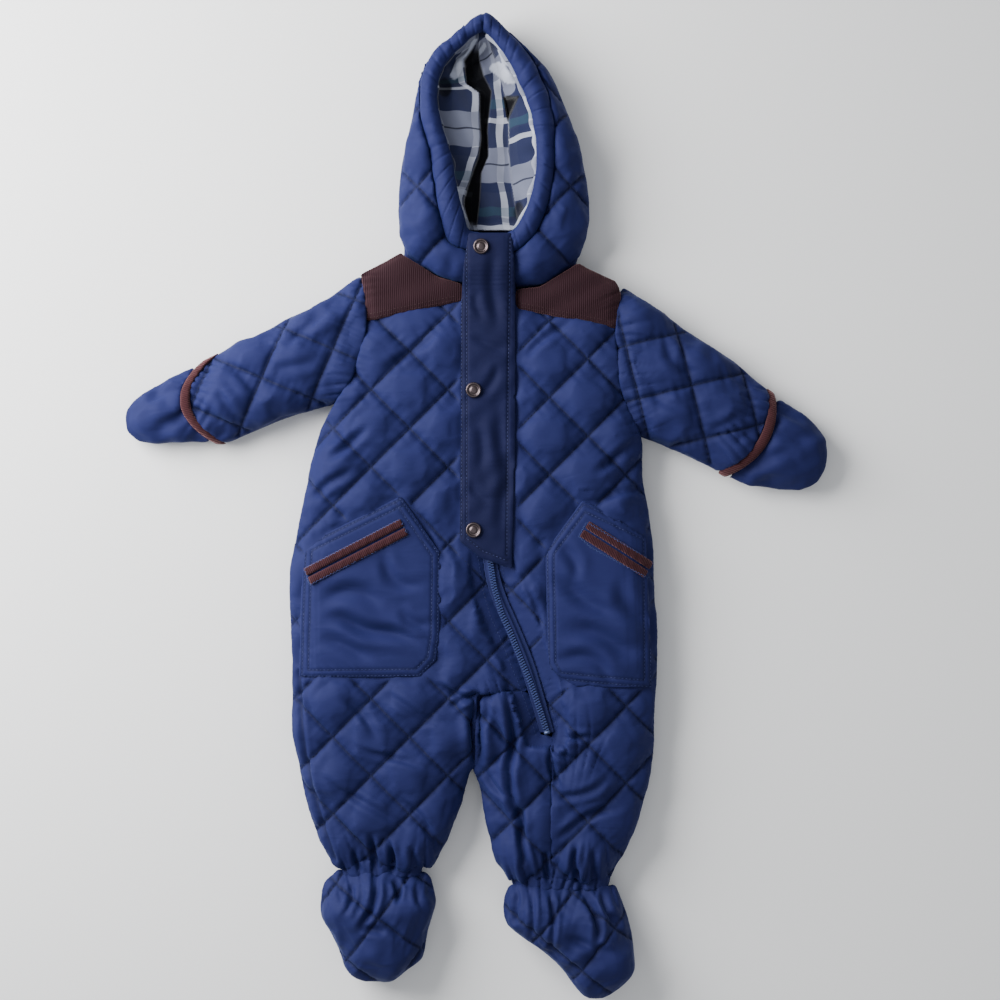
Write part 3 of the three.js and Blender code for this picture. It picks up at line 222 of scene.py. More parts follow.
# %% Corduroy ribs, shared by the yokes, the welts and the mitts' trims
t, start, end = new_group(
    "corduroy ribs",
    [("Across", "NodeSocketVector", (1.0, 0.0, 0.0)), ("Ribs", "NodeSocketFloat", 400.0)],
    [("Rib", "NodeSocketFloat"), ("Pile", "NodeSocketFloat")],
)
place = t.add("ShaderNodeTexCoord")
wobble = t.add("ShaderNodeTexNoise", {"Scale": 60.0, "Detail": 1.0})
t.join(place, "Object", wobble, "Vector")
along = t.add("ShaderNodeVectorMath", operation="DOT_PRODUCT")
t.join(place, "Object", along, 0)
t.join(start, "Across", along, 1)
bent = t.math("MULTIPLY", (wobble, "Fac"), 0.0016)
run = t.math("ADD", (along, "Value"), bent)
counted = t.math("MULTIPLY", run, (start, "Ribs"))
turns = t.math("MULTIPLY", counted, 2 * math.pi)
wave = t.math("SINE", turns)
half = t.math("MULTIPLY_ADD", wave, 0.5)
half[0].inputs[2].default_value = 0.5
t.tree.links.new(half[0].outputs[0], end.inputs["Rib"])
pile = t.add("ShaderNodeTexNoise", {"Scale": 900.0, "Detail": 2.0, "Roughness": 0.7})
t.join(place, "Object", pile, "Vector")
t.join(pile, "Fac", end, "Pile")
corduroy_ribs = t.tree
print("node groups", soft_creases.name, corduroy_ribs.name)


# %% Materials from the groups
def new_material(name):
    made = bpy.data.materials.new(name)
    made.use_nodes = True
    tree = Tree(made.node_tree)
    shader = made.node_tree.nodes["Principled BSDF"]
    return made, tree, shader


def colour_between(tree, factor, low, high, shader):
    blend = tree.add("ShaderNodeMix", data_type="RGBA")
    tree.tree.links.new(factor[0].outputs[factor[1]], blend.inputs[0])
    blend.inputs[6].default_value = low
    blend.inputs[7].default_value = high
    tree.tree.links.new(blend.outputs[2], shader.inputs["Base Color"])
    return blend


def surface(shader, roughness, specular, sheen, spread, tint):
    """How rough a cloth is, and the sheen of its fibres."""
    shader.inputs["Roughness"].default_value = roughness
    shader.inputs["Specular IOR Level"].default_value = specular
    shader.inputs["Sheen Weight"].default_value = sheen
    shader.inputs["Sheen Roughness"].default_value = spread
    shader.inputs["Sheen Tint"].default_value = tint


def shell_cloth(name, scale, depth, low, high, roughness):
    """The woven shell: creases at a scale and depth, two tones in patches, and painted shade along its seams.
    """
    made, tree, shader = new_material(name)
    creases = tree.add("ShaderNodeGroup", node_tree=soft_creases)
    creases.inputs["Scale"].default_value = scale
    cloth_colour = colour_between(tree, (creases, "Patch"), linear(*low), linear(*high), shader)
    # painted shade: where the seam attribute marks a quilting or sewn line, the colour is drawn towards a
    # near-black blue
    sewn = tree.add("ShaderNodeAttribute", attribute_name="seam")
    shade = tree.math("MULTIPLY", (sewn, "Fac"), SEAM_SHADE)
    seam_shadow = tree.add("ShaderNodeMix", data_type="RGBA")
    tree.tree.links.new(shade[0].outputs[0], seam_shadow.inputs[0])
    tree.tree.links.new(cloth_colour.outputs[2], seam_shadow.inputs[6])
    seam_shadow.inputs[7].default_value = SEAM_SHADOW_COLOUR
    tree.tree.links.new(seam_shadow.outputs[2], shader.inputs["Base Color"])
    bump = tree.add("ShaderNodeBump", {"Distance": depth, "Strength": 1.0})
    tree.join(creases, "Height", bump, "Height")
    tree.join(bump, "Normal", shader, "Normal")
    surface(shader, roughness, specular=0.14, sheen=0.12, spread=0.4, tint=linear(120, 150, 225))
    return made


# how strongly the painted shade along the seams darkens the cloth, and the near-black colour of that shade
SEAM_SHADE, SEAM_SHADOW_COLOUR = 0.55, linear(5, 7, 23)
quilted = shell_cloth("quilted shell", 26.0, 0.0008, (22, 27, 69), (29, 34, 81), 0.72)
plain_cloth = shell_cloth("plain shell", 20.0, 0.0009, (22, 27, 69), (29, 34, 81), 0.72)
placket_cloth = shell_cloth("placket shell", 20.0, 0.0009, (11, 14, 45), (15, 19, 56), 0.75)
zip_cloth = shell_cloth("zip tape", 60.0, 0.0003, (26, 31, 70), (32, 37, 80), 0.7)


RIB_PITCH = 1.55


def corduroy_cloth(name, across, dark, light):
    """Ribs that are counted across a direction, with painted shade in their grooves and painted light on
    their backs.
    """
    made, tree, shader = new_material(name)
    ribbed = tree.add("ShaderNodeGroup", node_tree=corduroy_ribs)
    ribbed.inputs["Across"].default_value = across
    ribbed.inputs["Ribs"].default_value = 1 / (RIB_PITCH * MM)
    # painted shade and light: the colour runs from dark in each rib's groove to light on its back, plus a
    # random tone from the pile
    shade = tree.math("MULTIPLY", (ribbed, "Rib"), 0.75)
    tone = tree.math("MULTIPLY_ADD", (ribbed, "Pile"), 0.35)
    tree.tree.links.new(shade[0].outputs[0], tone[0].inputs[2])
    colour_between(tree, tone, linear(*dark), linear(*light), shader)
    bump = tree.add("ShaderNodeBump", {"Distance": 0.0004, "Strength": 0.9})
    tree.join(ribbed, "Rib", bump, "Height")
    tree.join(bump, "Normal", shader, "Normal")
    surface(shader, 0.9, specular=0.15, sheen=0.5, spread=0.5, tint=linear(190, 140, 140))
    return made


yoke_corduroy = corduroy_cloth("yoke corduroy", (1.0, 0.0, 0.0), (15, 6, 10), (43, 20, 30))
welt_corduroy = corduroy_cloth("welt corduroy", (0.9, 0.43, 0.0), (31, 13, 18), (57, 26, 33))
trim_corduroy = corduroy_cloth("trim corduroy", (0.35, 0.94, 0.0), (34, 14, 18), (62, 29, 34))


def simple(name, colour, roughness, metallic=0.0, specular=0.4):
    made, tree, shader = new_material(name)
    shader.inputs["Base Color"].default_value = colour
    shader.inputs["Roughness"].default_value = roughness
    shader.inputs["Metallic"].default_value = metallic
    shader.inputs["Specular IOR Level"].default_value = specular
    grain = tree.add("ShaderNodeTexNoise", {"Scale": 700.0, "Detail": 2.0})
    place = tree.add("ShaderNodeTexCoord")
    tree.join(place, "Object", grain, "Vector")
    bump = tree.add("ShaderNodeBump", {"Distance": 0.0001, "Strength": 0.5})
    tree.join(grain, "Fac", bump, "Height")
    tree.join(bump, "Normal", shader, "Normal")
    return made


thread = simple("sewing thread", linear(13, 20, 52), 0.75)
thread_light = simple("top thread", linear(34, 42, 90), 0.6)
welt_thread = simple("welt thread", linear(58, 70, 120), 0.6)
brown_thread = simple("brown thread", linear(50, 26, 30), 0.7)
chain_plastic = simple("zip chain", linear(36, 50, 100), 0.32, 0.0, 0.6)
snap_metal = simple("antique metal", linear(92, 82, 84), 0.36, 1.0)
steel = simple("zip stop", linear(86, 98, 136), 0.45, 0.5)
floor.data.materials.append(simple("pale floor", linear(243, 243, 243), 0.9, 0.0, 0.1))

# %% [markdown]
# The lining is a brushed check flannel. Its colours lie on top of each other as woven stripes do: a
# stripe along and a stripe across each cover part of the ground, and where they cross both show. The
# stripes are counted in the cloth's own flat sizes, which its UV map holds, so they bend with the folds.

# %% Lining check
REPEAT_ACROSS, REPEAT_ALONG = 86.0, 86.0
CHECK_GROUND = (36, 41, 68)
# middle and width in mm within one repeat, colour, cover from 0 to 1
STRIPES_ACROSS = [
    (2.8, 5.4, (176, 180, 194), 0.7),
    (18.0, 5.0, (24, 30, 60), 0.5),
    (34.0, 12.0, (96, 92, 98), 0.5),
    (48.0, 3.0, (74, 104, 110), 0.3),
    (64.0, 14.0, (26, 32, 64), 0.5),
]
STRIPES_ALONG = [
    (2.2, 4.4, (174, 178, 192), 0.7),
    (37.8, 28.0, (112, 116, 134), 0.8),
    (37.4, 1.4, (22, 25, 42), 0.85),
    (56.0, 7.0, (24, 30, 64), 0.5),
    (75.0, 7.0, (44, 78, 90), 0.35),
    (82.0, 4.0, (24, 30, 64), 0.4),
]


def stripe_mask(tree, line, middle, width, cover):
    """1 inside the stripe, 0 outside, times its cover."""
    off = tree.math("SUBTRACT", line, middle)
    away = tree.math("ABSOLUTE", off)
    inside = tree.math("LESS_THAN", away, width / 2)
    return tree.math("MULTIPLY", inside, cover)


lining_cloth, tree, shader = new_material("check flannel")
flat_place = tree.add("ShaderNodeUVMap", uv_map="flat")
split = tree.add("ShaderNodeSeparateXYZ")
tree.join(flat_place, "UV", split, "Vector")
colour = tree.add("ShaderNodeRGB")
colour.outputs[0].default_value = linear(*CHECK_GROUND)
last = (colour, 0)
for axis, repeat, stripes in (("X", REPEAT_ACROSS, STRIPES_ACROSS), ("Y", REPEAT_ALONG, STRIPES_ALONG)):
    metres = tree.math("MULTIPLY", (split, axis), 1000.0)
    wrapped = tree.math("FLOORED_MODULO", metres, repeat)
    for middle, width, shade, cover in stripes:
        mask = stripe_mask(tree, wrapped, middle, width, cover)
        blend = tree.add("ShaderNodeMix", data_type="RGBA")
        tree.tree.links.new(mask[0].outputs[0], blend.inputs[0])
        tree.tree.links.new(last[0].outputs[last[1]], blend.inputs[6])
        blend.inputs[7].default_value = linear(*shade)
        last = (blend, 2)
# deep is painted shade that makes the lining's hollows near black; pale is the colour of the pale crumples
for title, share, shade in (("pale", 0.75, (186, 191, 206)), ("deep", 0.97, (2, 2, 5))):
    marked = tree.add("ShaderNodeAttribute", attribute_name=title)
    cover = tree.math("MULTIPLY", (marked, "Fac"), share)
    blend = tree.add("ShaderNodeMix", data_type="RGBA")
    tree.tree.links.new(cover[0].outputs[0], blend.inputs[0])
    tree.tree.links.new(last[0].outputs[last[1]], blend.inputs[6])
    blend.inputs[7].default_value = linear(*shade)
    last = (blend, 2)
tree.tree.links.new(last[0].outputs[last[1]], shader.inputs["Base Color"])
nap = tree.add("ShaderNodeTexNoise", {"Scale": 1100.0, "Detail": 3.0, "Roughness": 0.7})
bump = tree.add("ShaderNodeBump", {"Distance": 0.0004, "Strength": 0.6})
object_place = tree.add("ShaderNodeTexCoord")
tree.join(object_place, "Object", nap, "Vector")
tree.join(nap, "Fac", bump, "Height")
tree.join(bump, "Normal", shader, "Normal")
shader.inputs["Roughness"].default_value = 0.95
shader.inputs["Specular IOR Level"].default_value = 0.1
shader.inputs["Sheen Weight"].default_value = 0.3
print("lining stripes", len(STRIPES_ACROSS) + len(STRIPES_ALONG))

# %% [markdown]
# ## From solid to cloth
#
# A construction solid has a coarse surface with straight facets. Its copy is given an even net of small
# squares, the heights of its upper surface are evened out, and then the finer forms are added: puffs,
# seams that draw the cloth in, gathers and creases. Heights change and outlines stay, so that every
# piece still meets its neighbours.


# %% Meshes as arrays
def merged_copy(node):
    mesh = nodes[node].data.copy()
    mesh.materials.clear()
    net = bmesh.new()
    net.from_mesh(mesh)
    bmesh.ops.remove_doubles(net, verts=net.verts, dist=0.00001)
    net.to_mesh(mesh)
    net.free()
    obj = bpy.data.objects.new("work_" + node, mesh)
    bpy.context.scene.collection.objects.link(obj)
    return obj


def applied(obj):
    """The object's mesh with its modifiers in it, and the modifiers gone."""
    graph = bpy.context.evaluated_depsgraph_get()
    mesh = bpy.data.meshes.new_from_object(obj.evaluated_get(graph))
    obj.modifiers.clear()
    obj.data = mesh
    return obj


def netted(node, size, lattice=None):
    """A copy with an even net. With a lattice, the net is turned so that its threads follow the quilting."""
    obj = merged_copy(node)
    if lattice:
        size = LINE_SPACING / round(LINE_SPACING / size)
        turn = math.radians(lattice["turn"] + 45)
        shift = Matrix.Translation((-lattice["x"] * MM, -lattice["y"] * MM, 0.0))
        half_cell = Matrix.Translation((size * MM / 2, size * MM / 2, 0.0))
        to_net = half_cell @ Matrix.Rotation(-turn, 4, "Z") @ shift
        obj.data.transform(to_net)
    net = obj.modifiers.new("net", "REMESH")
    net.mode = "VOXEL"
    net.voxel_size = size * MM
    applied(obj)
    if lattice:
        obj.data.transform(to_net.inverted())
    return obj


def points_of(obj):
    co = np.empty(len(obj.data.vertices) * 3)
    obj.data.vertices.foreach_get("co", co)
    return co.reshape(-1, 3) / MM


def normals_of(obj):
    found = np.empty(len(obj.data.vertices) * 3)
    obj.data.vertex_normals.foreach_get("vector", found)
    return found.reshape(-1, 3)


def edges_of(obj):
    found = np.empty(len(obj.data.edges) * 2, np.int64)
    obj.data.edges.foreach_get("vertices", found)
    return found.reshape(-1, 2)


def put_points(obj, co):
    obj.data.vertices.foreach_set("co", (co * MM).ravel())
    obj.data.update()


def evened(values, edges, free, rounds):
    """Each free value is drawn towards the mean of its neighbours."""
    count = len(values)
    ends = np.concatenate([edges, edges[:, ::-1]])
    degree = np.maximum(np.bincount(ends[:, 0], minlength=count), 1)
    for _ in range(rounds):
        mean = np.bincount(ends[:, 0], weights=values[ends[:, 1]], minlength=count) / degree
        values = np.where(free, values + 0.5 * (mean - values), values)
    return values


def smoothstep(value, low, high):
    share = np.clip((value - low) / (high - low), 0, 1)
    return share * share * (3 - 2 * share)


def uneven(along, pitch, seed, strands=5):
    """A smooth line of unequal waves round a pitch, from about -1 to 1."""
    rng = np.random.default_rng(seed)
    total = np.zeros_like(along)
    for _ in range(strands):
        wave = pitch * rng.uniform(0.72, 1.6)
        total = total + np.sin(2 * np.pi * along / wave + rng.uniform(0, 2 * np.pi))
    return total / math.sqrt(strands)


# %% Quilting
QUILT = 30.7
LATTICES = {
    "front_right": {"x": -53, "y": 124.2, "turn": 0},
    "front_left": {"x": 58.2, "y": 87.4, "turn": 0},
    "hood": {"x": -47, "y": 254, "turn": 0},
    "arm_right": {"x": -211, "y": 120, "turn": 22},
    "arm_left": {"x": 161, "y": 139, "turn": -31},
    "foot_right": {"x": -77.5, "y": -325.7, "turn": 8},
    "foot_left": {"x": 83.2, "y": -367.6, "turn": 6},
}
LINE_SPACING = 2 * QUILT / math.sqrt(2)


def lattice_place(x, y, lattice):
    """How far along the two sets of quilting lines a point is, counted in lines."""
    turn = math.radians(lattice["turn"])
    dx, dy = x - lattice["x"], y - lattice["y"]
    across = dx * math.cos(turn) + dy * math.sin(turn)
    along = -dx * math.sin(turn) + dy * math.cos(turn)
    return (across + along) / (2 * QUILT), (across - along) / (2 * QUILT)


def line_distance(x, y, lattice):
    u, v = lattice_place(x, y, lattice)
    to_u = np.abs(u - np.round(u)) * LINE_SPACING
    to_v = np.abs(v - np.round(v)) * LINE_SPACING
    return to_u, to_v


def puffs(x, y, lattice):
    """0 on the quilting lines, 1 in the middle of a diamond."""
    to_u, to_v = line_distance(x, y, lattice)
    swell = 1.0
    for gap in (to_u, to_v):
        share = np.clip(gap / (LINE_SPACING / 2), 0, 1)
        swell = swell * (1 - (1 - share) ** 2.8)
    return swell


def puckers(x, y, lattice, seed):
    """Short wrinkles that run away from the stitching on both sides of it."""
    u, v = lattice_place(x, y, lattice)
    to_u, to_v = line_distance(x, y, lattice)
    first = uneven(v * LINE_SPACING, 7.5, seed) * np.exp(-((to_u / 7.0) ** 1.5))
    second = uneven(u * LINE_SPACING, 7.5, seed + 1) * np.exp(-((to_v / 7.0) ** 1.5))
    return first + second


# corners in order round each place that lies flat, in mm: under the two pockets and the placket
PLAIN_OUTLINES = [
    [(-145, -139), (-24, -139), (-24, -36), (-56, 12), (-66, 12), (-139, -25)],
    [(51, -147), (144, -147), (139, -17), (88, 9), (80, 9), (51, -33)],
    [(-16, -50), (36, -50), (36, 230), (-16, 230)],
]


def depth_inside(x, y, outline):
    """How far inside a convex outline each point is, below 0 outside it."""
    inside = np.full(len(x), np.inf)
    for (x0, y0), (x1, y1) in zip(outline, outline[1:] + outline[:1]):
        to_edge = ((x1 - x0) * (y - y0) - (y1 - y0) * (x - x0)) / math.hypot(x1 - x0, y1 - y0)
        inside = np.minimum(inside, to_edge)
    return inside


def plain_share(x, y):
    """1 where the front lies flat under a pocket or the placket."""
    share = np.zeros_like(x)
    for outline in PLAIN_OUTLINES:
        share = np.maximum(share, smoothstep(depth_inside(x, y, outline), -2, 4))
    return share


print("quilting lines", round(LINE_SPACING, 1), "mm apart")

# %% [markdown]
# ## Listed creases
#
# Every row of the table is one crease as it lies in the photograph: two ends, how wide it is and how
# deep. A crease is a soft trough with a low ridge on each side, deepest in its middle, and it wanders a
# little from the straight line.

# %% Crease table
# x0, y0, x1, y1, width, depth in mm
CREASES = [
    # below the pockets, pulled towards the crotch
    (-28, -143, 6, -150, 2.5, 4.1),
    (-20, -158, 2, -148, 2.2, 3.2),
    (0, -152, 4, -168, 1.8, 2.7),
    (-70, -150, -30, -172, 2.9, 2.2),
    (-105, -152, -78, -180, 3.2, 2.4),
    (-120, -215, -60, -250, 2.9, 2.4),
    (-95, -190, -40, -206, 2.5, 2.0),
    (-60, -232, -34, -262, 2.5, 2.4),
    # left leg, from the end of the zip and down the seam
    (58, -188, 78, -200, 2.2, 3.5),
    (58, -186, 92, -182, 2.2, 3.0),
    (60, -190, 66, -222, 2.2, 3.0),
    (66, -232, 104, -216, 2.9, 2.4),
    (66, -262, 112, -240, 2.9, 2.4),
    (26, -146, 31, -206, 2.8, 5.0),
    (29, -190, 36, -250, 2.8, 5.0),
    (34, -234, 43, -294, 2.8, 4.6),
    (10, -165, 24, -190, 2.2, 2.4),
    (8, -210, 26, -232, 2.2, 2.4),
    # beside the placket and under the arms
    (-118, 40, -86, 62, 3.2, 2.7),
    (-128, 8, -100, 30, 3.2, 2.4),
    (-40, -20, -22, -60, 2.9, 2.2),
    (40, -60, 52, -110, 2.9, 2.2),
    (96, 30, 124, 48, 3.2, 2.7),
    (100, 4, 132, 14, 3.2, 2.2),
    (40, 120, 74, 146, 2.9, 1.8),
    (-70, 110, -30, 140, 2.9, 1.6),
    # the folds at the crotch's gusset
    (-2, -148, -1, -206, 4.0, 6.0),
    (8, -150, 5, -176, 2.4, 2.6),
    # deep folds above and below the ankles
    (-84, -262, -78, -292, 2.2, 4.0),
    (-70, -266, -66, -290, 2.0, 4.4),
    (-96, -272, -92, -290, 2.0, 3.0),
    (-52, -270, -48, -286, 2.2, 3.0),
    (-80, -296, -90, -332, 2.6, 4.2),
    (-66, -297, -62, -312, 2.2, 4.0),
    (-98, -300, -104, -322, 2.2, 2.4),
    (-90, -332, -72, -338, 2.6, 2.2),
    (-72, -330, -58, -344, 2.6, 1.8),
    (-48, -300, -40, -318, 2.4, 2.2),
    (36, -276, 42, -298, 2.0, 3.2),
    (56, -276, 58, -300, 2.0, 3.6),
    (78, -268, 84, -300, 2.2, 4.2),
    (94, -272, 92, -298, 2.2, 3.6),
    (84, -304, 96, -344, 2.6, 4.2),
    (100, -306, 112, -330, 2.4, 3.0),
    (58, -306, 60, -350, 2.0, 2.6),
    (44, -306, 44, -340, 2.0, 2.2),
    (34, -306, 30, -330, 2.0, 2.0),
    (72, -340, 108, -356, 3.0, 2.0),
]

POCKET_CREASES = [
    (-120, -68, -78, -74, 6.0, 2.0),
    (-112, -88, -50, -106, 5.0, 2.6),
    (-76, -42, -46, -64, 5.0, 1.6),
    (-120, -104, -84, -118, 5.0, 1.6),
    (-60, -84, -38, -96, 4.0, 1.4),
    (64, -60, 112, -90, 6.0, 2.2),
    (76, -94, 130, -114, 7.0, 2.3),
    (68, -116, 108, -134, 5.5, 1.8),
    (112, -62, 136, -96, 6.0, 1.8),
    (66, -30, 82, -54, 4.5, 1.4),
]
PLACKET_CREASES = [
    (12, 200, 15, 146, 4.0, 1.6),
    (-2, 134, 24, 126, 3.2, 1.2),
    (18, 112, 4, 90, 3.2, 1.1),
    (17, 78, 20, -22, 4.5, 1.8),
    (0, 66, 6, 30, 4.0, 1.2),
    (-4, 20, 10, 4, 3.2, 1.0),
    (0, 170, 4, 150, 3.0, 0.9),
]
ARM_CREASES = [
    (-118, 160, -150, 128, 4.0, 2.0),
    (-126, 118, -158, 108, 4.0, 1.8),
    (-176, 92, -196, 112, 3.5, 1.8),
    (-188, 70, -206, 92, 3.5, 2.0),
    (150, 132, 176, 104, 4.0, 2.0),
    (140, 92, 166, 76, 4.0, 1.8),
    (186, 60, 208, 74, 3.5, 1.8),
    (206, 50, 224, 62, 3.5, 1.6),
    (-236, 96, -262, 84, 4.0, 1.6),
    (-232, 76, -256, 64, 4.0, 1.4),
    (-246, 106, -270, 96, 3.5, 1.0),
    (240, 62, 262, 52, 4.0, 1.6),
    (232, 42, 258, 34, 4.0, 1.4),
    (244, 78, 262, 66, 3.5, 1.0),
]


def crease_heights(x, y, table, seed):
    total = np.zeros_like(x)
    rng = np.random.default_rng(seed)
    for x0, y0, x1, y1, width, depth in table:
        length = math.hypot(x1 - x0, y1 - y0)
        dx, dy = (x1 - x0) / length, (y1 - y0) / length
        along = (x - x0) * dx + (y - y0) * dy
        bend = rng.uniform(-0.12, 0.12) * length
        share = np.clip(along / length, -0.4, 1.4)
        off = -(x - x0) * dy + (y - y0) * dx - bend * np.sin(np.pi * np.clip(share, 0, 1))
        off = off - width * 0.35 * np.sin(along / 9 + rng.uniform(0, 6))
        taper = smoothstep(share, -0.18, 0.3) * (1 - smoothstep(share, 0.7, 1.18))
        trough = -np.exp(-((off / width) ** 2))
        ridges = 0.45 * np.exp(-(((np.abs(off) - 2.0 * width) / (1.1 * width)) ** 2))
        total = total + depth * taper * (trough + ridges)
    return total


print("creases", len(CREASES) + len(POCKET_CREASES) + len(ARM_CREASES))


# %% [markdown]
# ## Gathers
#
# The ankles and the hood's rim are drawn up by elastic, and the zip's seams pull the thigh into small
# folds. A gather is a row of unequal folds that runs away from the line which holds it and dies out.

# %% Gathers
# the line's two ends, how far the folds reach, their spacing and height in mm
GATHERS = [
    {"x0": -116, "y0": -288, "x1": -32, "y1": -288, "reach": 20, "pitch": 11.0, "height": 2.2},
    {"x0": 20, "y0": -298, "x1": 111, "y1": -298, "reach": 20, "pitch": 11.0, "height": 2.2},
    {"x0": 62, "y0": -184, "x1": 98, "y1": -196, "reach": 22, "pitch": 8.0, "height": 1.8},
    {"x0": 5, "y0": -147, "x1": 26, "y1": -147, "reach": 14, "pitch": 7.0, "height": 1.4},
    {"x0": 56, "y0": -176, "x1": 34, "y1": -120, "reach": 16, "pitch": 8.0, "height": 1.3},
    {"x0": 34, "y0": -120, "x1": 14, "y1": -60, "reach": 12, "pitch": 9.0, "height": 1.0},
    {"x0": -209, "y0": 121, "x1": -228, "y1": 84, "reach": 14, "pitch": 9.0, "height": 1.4},
    {"x0": -228, "y0": 84, "x1": -202, "y1": 52, "reach": 14, "pitch": 9.0, "height": 1.4},
    {"x0": 233, "y0": 93, "x1": 195, "y1": 29, "reach": 16, "pitch": 9.0, "height": 1.4},
    {"x0": -92, "y0": 187, "x1": -111, "y1": 84, "reach": 14, "pitch": 10.0, "height": 1.2},
    {"x0": 117, "y0": 177, "x1": 131, "y1": 57, "reach": 14, "pitch": 10.0, "height": 1.2},
]


def gather_heights(x, y, seed):
    total = np.zeros_like(x)
    for number, row in enumerate(GATHERS):
        length = math.hypot(row["x1"] - row["x0"], row["y1"] - row["y0"])
        dx, dy = (row["x1"] - row["x0"]) / length, (row["y1"] - row["y0"]) / length
        along = (x - row["x0"]) * dx + (y - row["y0"]) * dy
        off = -(x - row["x0"]) * dy + (y - row["y0"]) * dx
        away = np.abs(off)
        drift = along + 0.35 * np.sign(off) * away * np.sin(along / 14 + seed)
        folds = uneven(drift, row["pitch"] * 1.7, seed + number, 3)
        folds = 0.55 - 1.35 * np.exp(-((folds / 0.32) ** 2))
        held = smoothstep(along, -8, 6) * (1 - smoothstep(along, length - 6, length + 8))
        total = total + row["height"] * folds * held * np.exp(-((away / row["reach"]) ** 1.4))
    return total


print("gathers", len(GATHERS))

# %% A finished piece
cloth_pieces = {}


def finished(obj, name, material, level=1):
    """One division, smooth faces, its own name, and its place in the frame."""
    if level:
        finer = obj.modifiers.new("finer", "SUBSURF")
        finer.levels = level
        finer.render_levels = level
        applied(obj)
    obj.data.materials.clear()
    obj.data.materials.append(material)
    obj.data.polygons.foreach_set("use_smooth", [True] * len(obj.data.polygons))
    obj.name = name
    obj.data.name = name
    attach(obj, "root")
    return obj


# %% [markdown]
# ## Single layers of cloth
#
# The placket, the pockets, their welts, the mitts' trims and the zip's tape are cloth without wadding.
# Each keeps its solid's form with a finer net, its edges are rounded as a turned-in hem is, and its
# creases are soft troughs, listed one by one.

# %% Thin pieces: net in mm, flat size of the cut in m, its area in square metres
FLAT_SHELL = {"net": 1.3, "slot": "quilted_shell"}
WELT = {"net": 0.9, "area": None, "material": welt_corduroy, "slot": "corduroy"}
WELT_RIGHT, WELT_LEFT = (0.085, 0.010), (0.062, 0.010)
THIN = {
    "placket": {**FLAT_SHELL, "flat": (0.045, 0.266), "area": 0.0111, "material": placket_cloth},
    "pocket_right": {**FLAT_SHELL, "flat": (0.113, 0.143), "area": 0.0138, "material": plain_cloth},
    "pocket_left": {**FLAT_SHELL, "flat": (0.086, 0.149), "area": 0.0110, "material": plain_cloth},
    "welt_upper_right": {**WELT, "flat": WELT_RIGHT},
    "welt_lower_right": {**WELT, "flat": WELT_RIGHT},
    "welt_upper_left": {**WELT, "flat": WELT_LEFT},
    "welt_lower_left": {**WELT, "flat": WELT_LEFT},
}


def gap_to_line(x, y, line):
    """Distance from each point to a line of (x, y) points."""
    nearest = np.full(len(x), 1e9)
    for (x0, y0), (x1, y1) in zip(line, line[1:]):
        dx, dy = x1 - x0, y1 - y0
        share = np.clip(((x - x0) * dx + (y - y0) * dy) / (dx * dx + dy * dy), 0, 1)
        nearest = np.minimum(nearest, np.hypot(x - x0 - share * dx, y - y0 - share * dy))
    return nearest


def moved_in(outline, away):
    """The outline moved to its left by a distance, with its corners kept."""
    points = np.array(outline, float)
    ways = np.diff(points, axis=0)
    ways /= np.hypot(*ways.T)[:, None]
    left = np.stack([-ways[:, 1], ways[:, 0]], 1)
    moved = [points[0] + left[0] * away]
    for i in range(1, len(points) - 1):
        corner = left[i - 1] + left[i]
        moved.append(points[i] + corner * away / (1 + left[i - 1] @ left[i]))
    moved.append(points[-1] + left[-1] * away)
    return moved


# outlines in mm, drawn so that the inside is on the left
POCKET_RIGHT = [
    (-59.4, 8.2),
    (-137, -30.2),
    (-140.2, -135.8),
    (-45, -135),
    (-32.2, -122.2),
    (-29, -101.4),
    (-28.2, -36.6),
    (-59.4, 8.2),
]
POCKET_LEFT = [
    (139.8, -21.4),
    (84.6, 4.6),
    (55, -35),
    (56.6, -125.4),
    (63.8, -137.4),
    (96.6, -140.6),
    (140.6, -144.6),
    (139.8, -21.4),
]
PLACKET_LINES = [
    [(-7.4, 214), (-7.4, -25)],
    [(27, 214), (25, 60), (24.5, -38)],
    [(-7.4, -24.5), (5, -34.5), (25, -42.5)],
    [(-11.5, 214), (-11.5, -24)],
]
EDGE_ROWS = (1.6, 6.6)
SEWN_LINES = {
    "pocket_right": [moved_in(POCKET_RIGHT, away) for away in EDGE_ROWS],
    "pocket_left": [moved_in(POCKET_LEFT, away) for away in EDGE_ROWS],
    "placket": PLACKET_LINES,
}


def plain_heights(name, x, y):
    """Creases of the flat cloth: the pockets' own, and slight waves down the placket."""
    lift = 1.6 * crease_heights(x, y, POCKET_CREASES, 5)
    if name == "placket":
        lift = crease_heights(x, y, PLACKET_CREASES, 6) + 0.2 * uneven(y - 0.8 * x, 17.0, 10)
    if name.startswith("welt"):
        lift = 0.15 * uneven(x, 8.0, 11)
    return lift


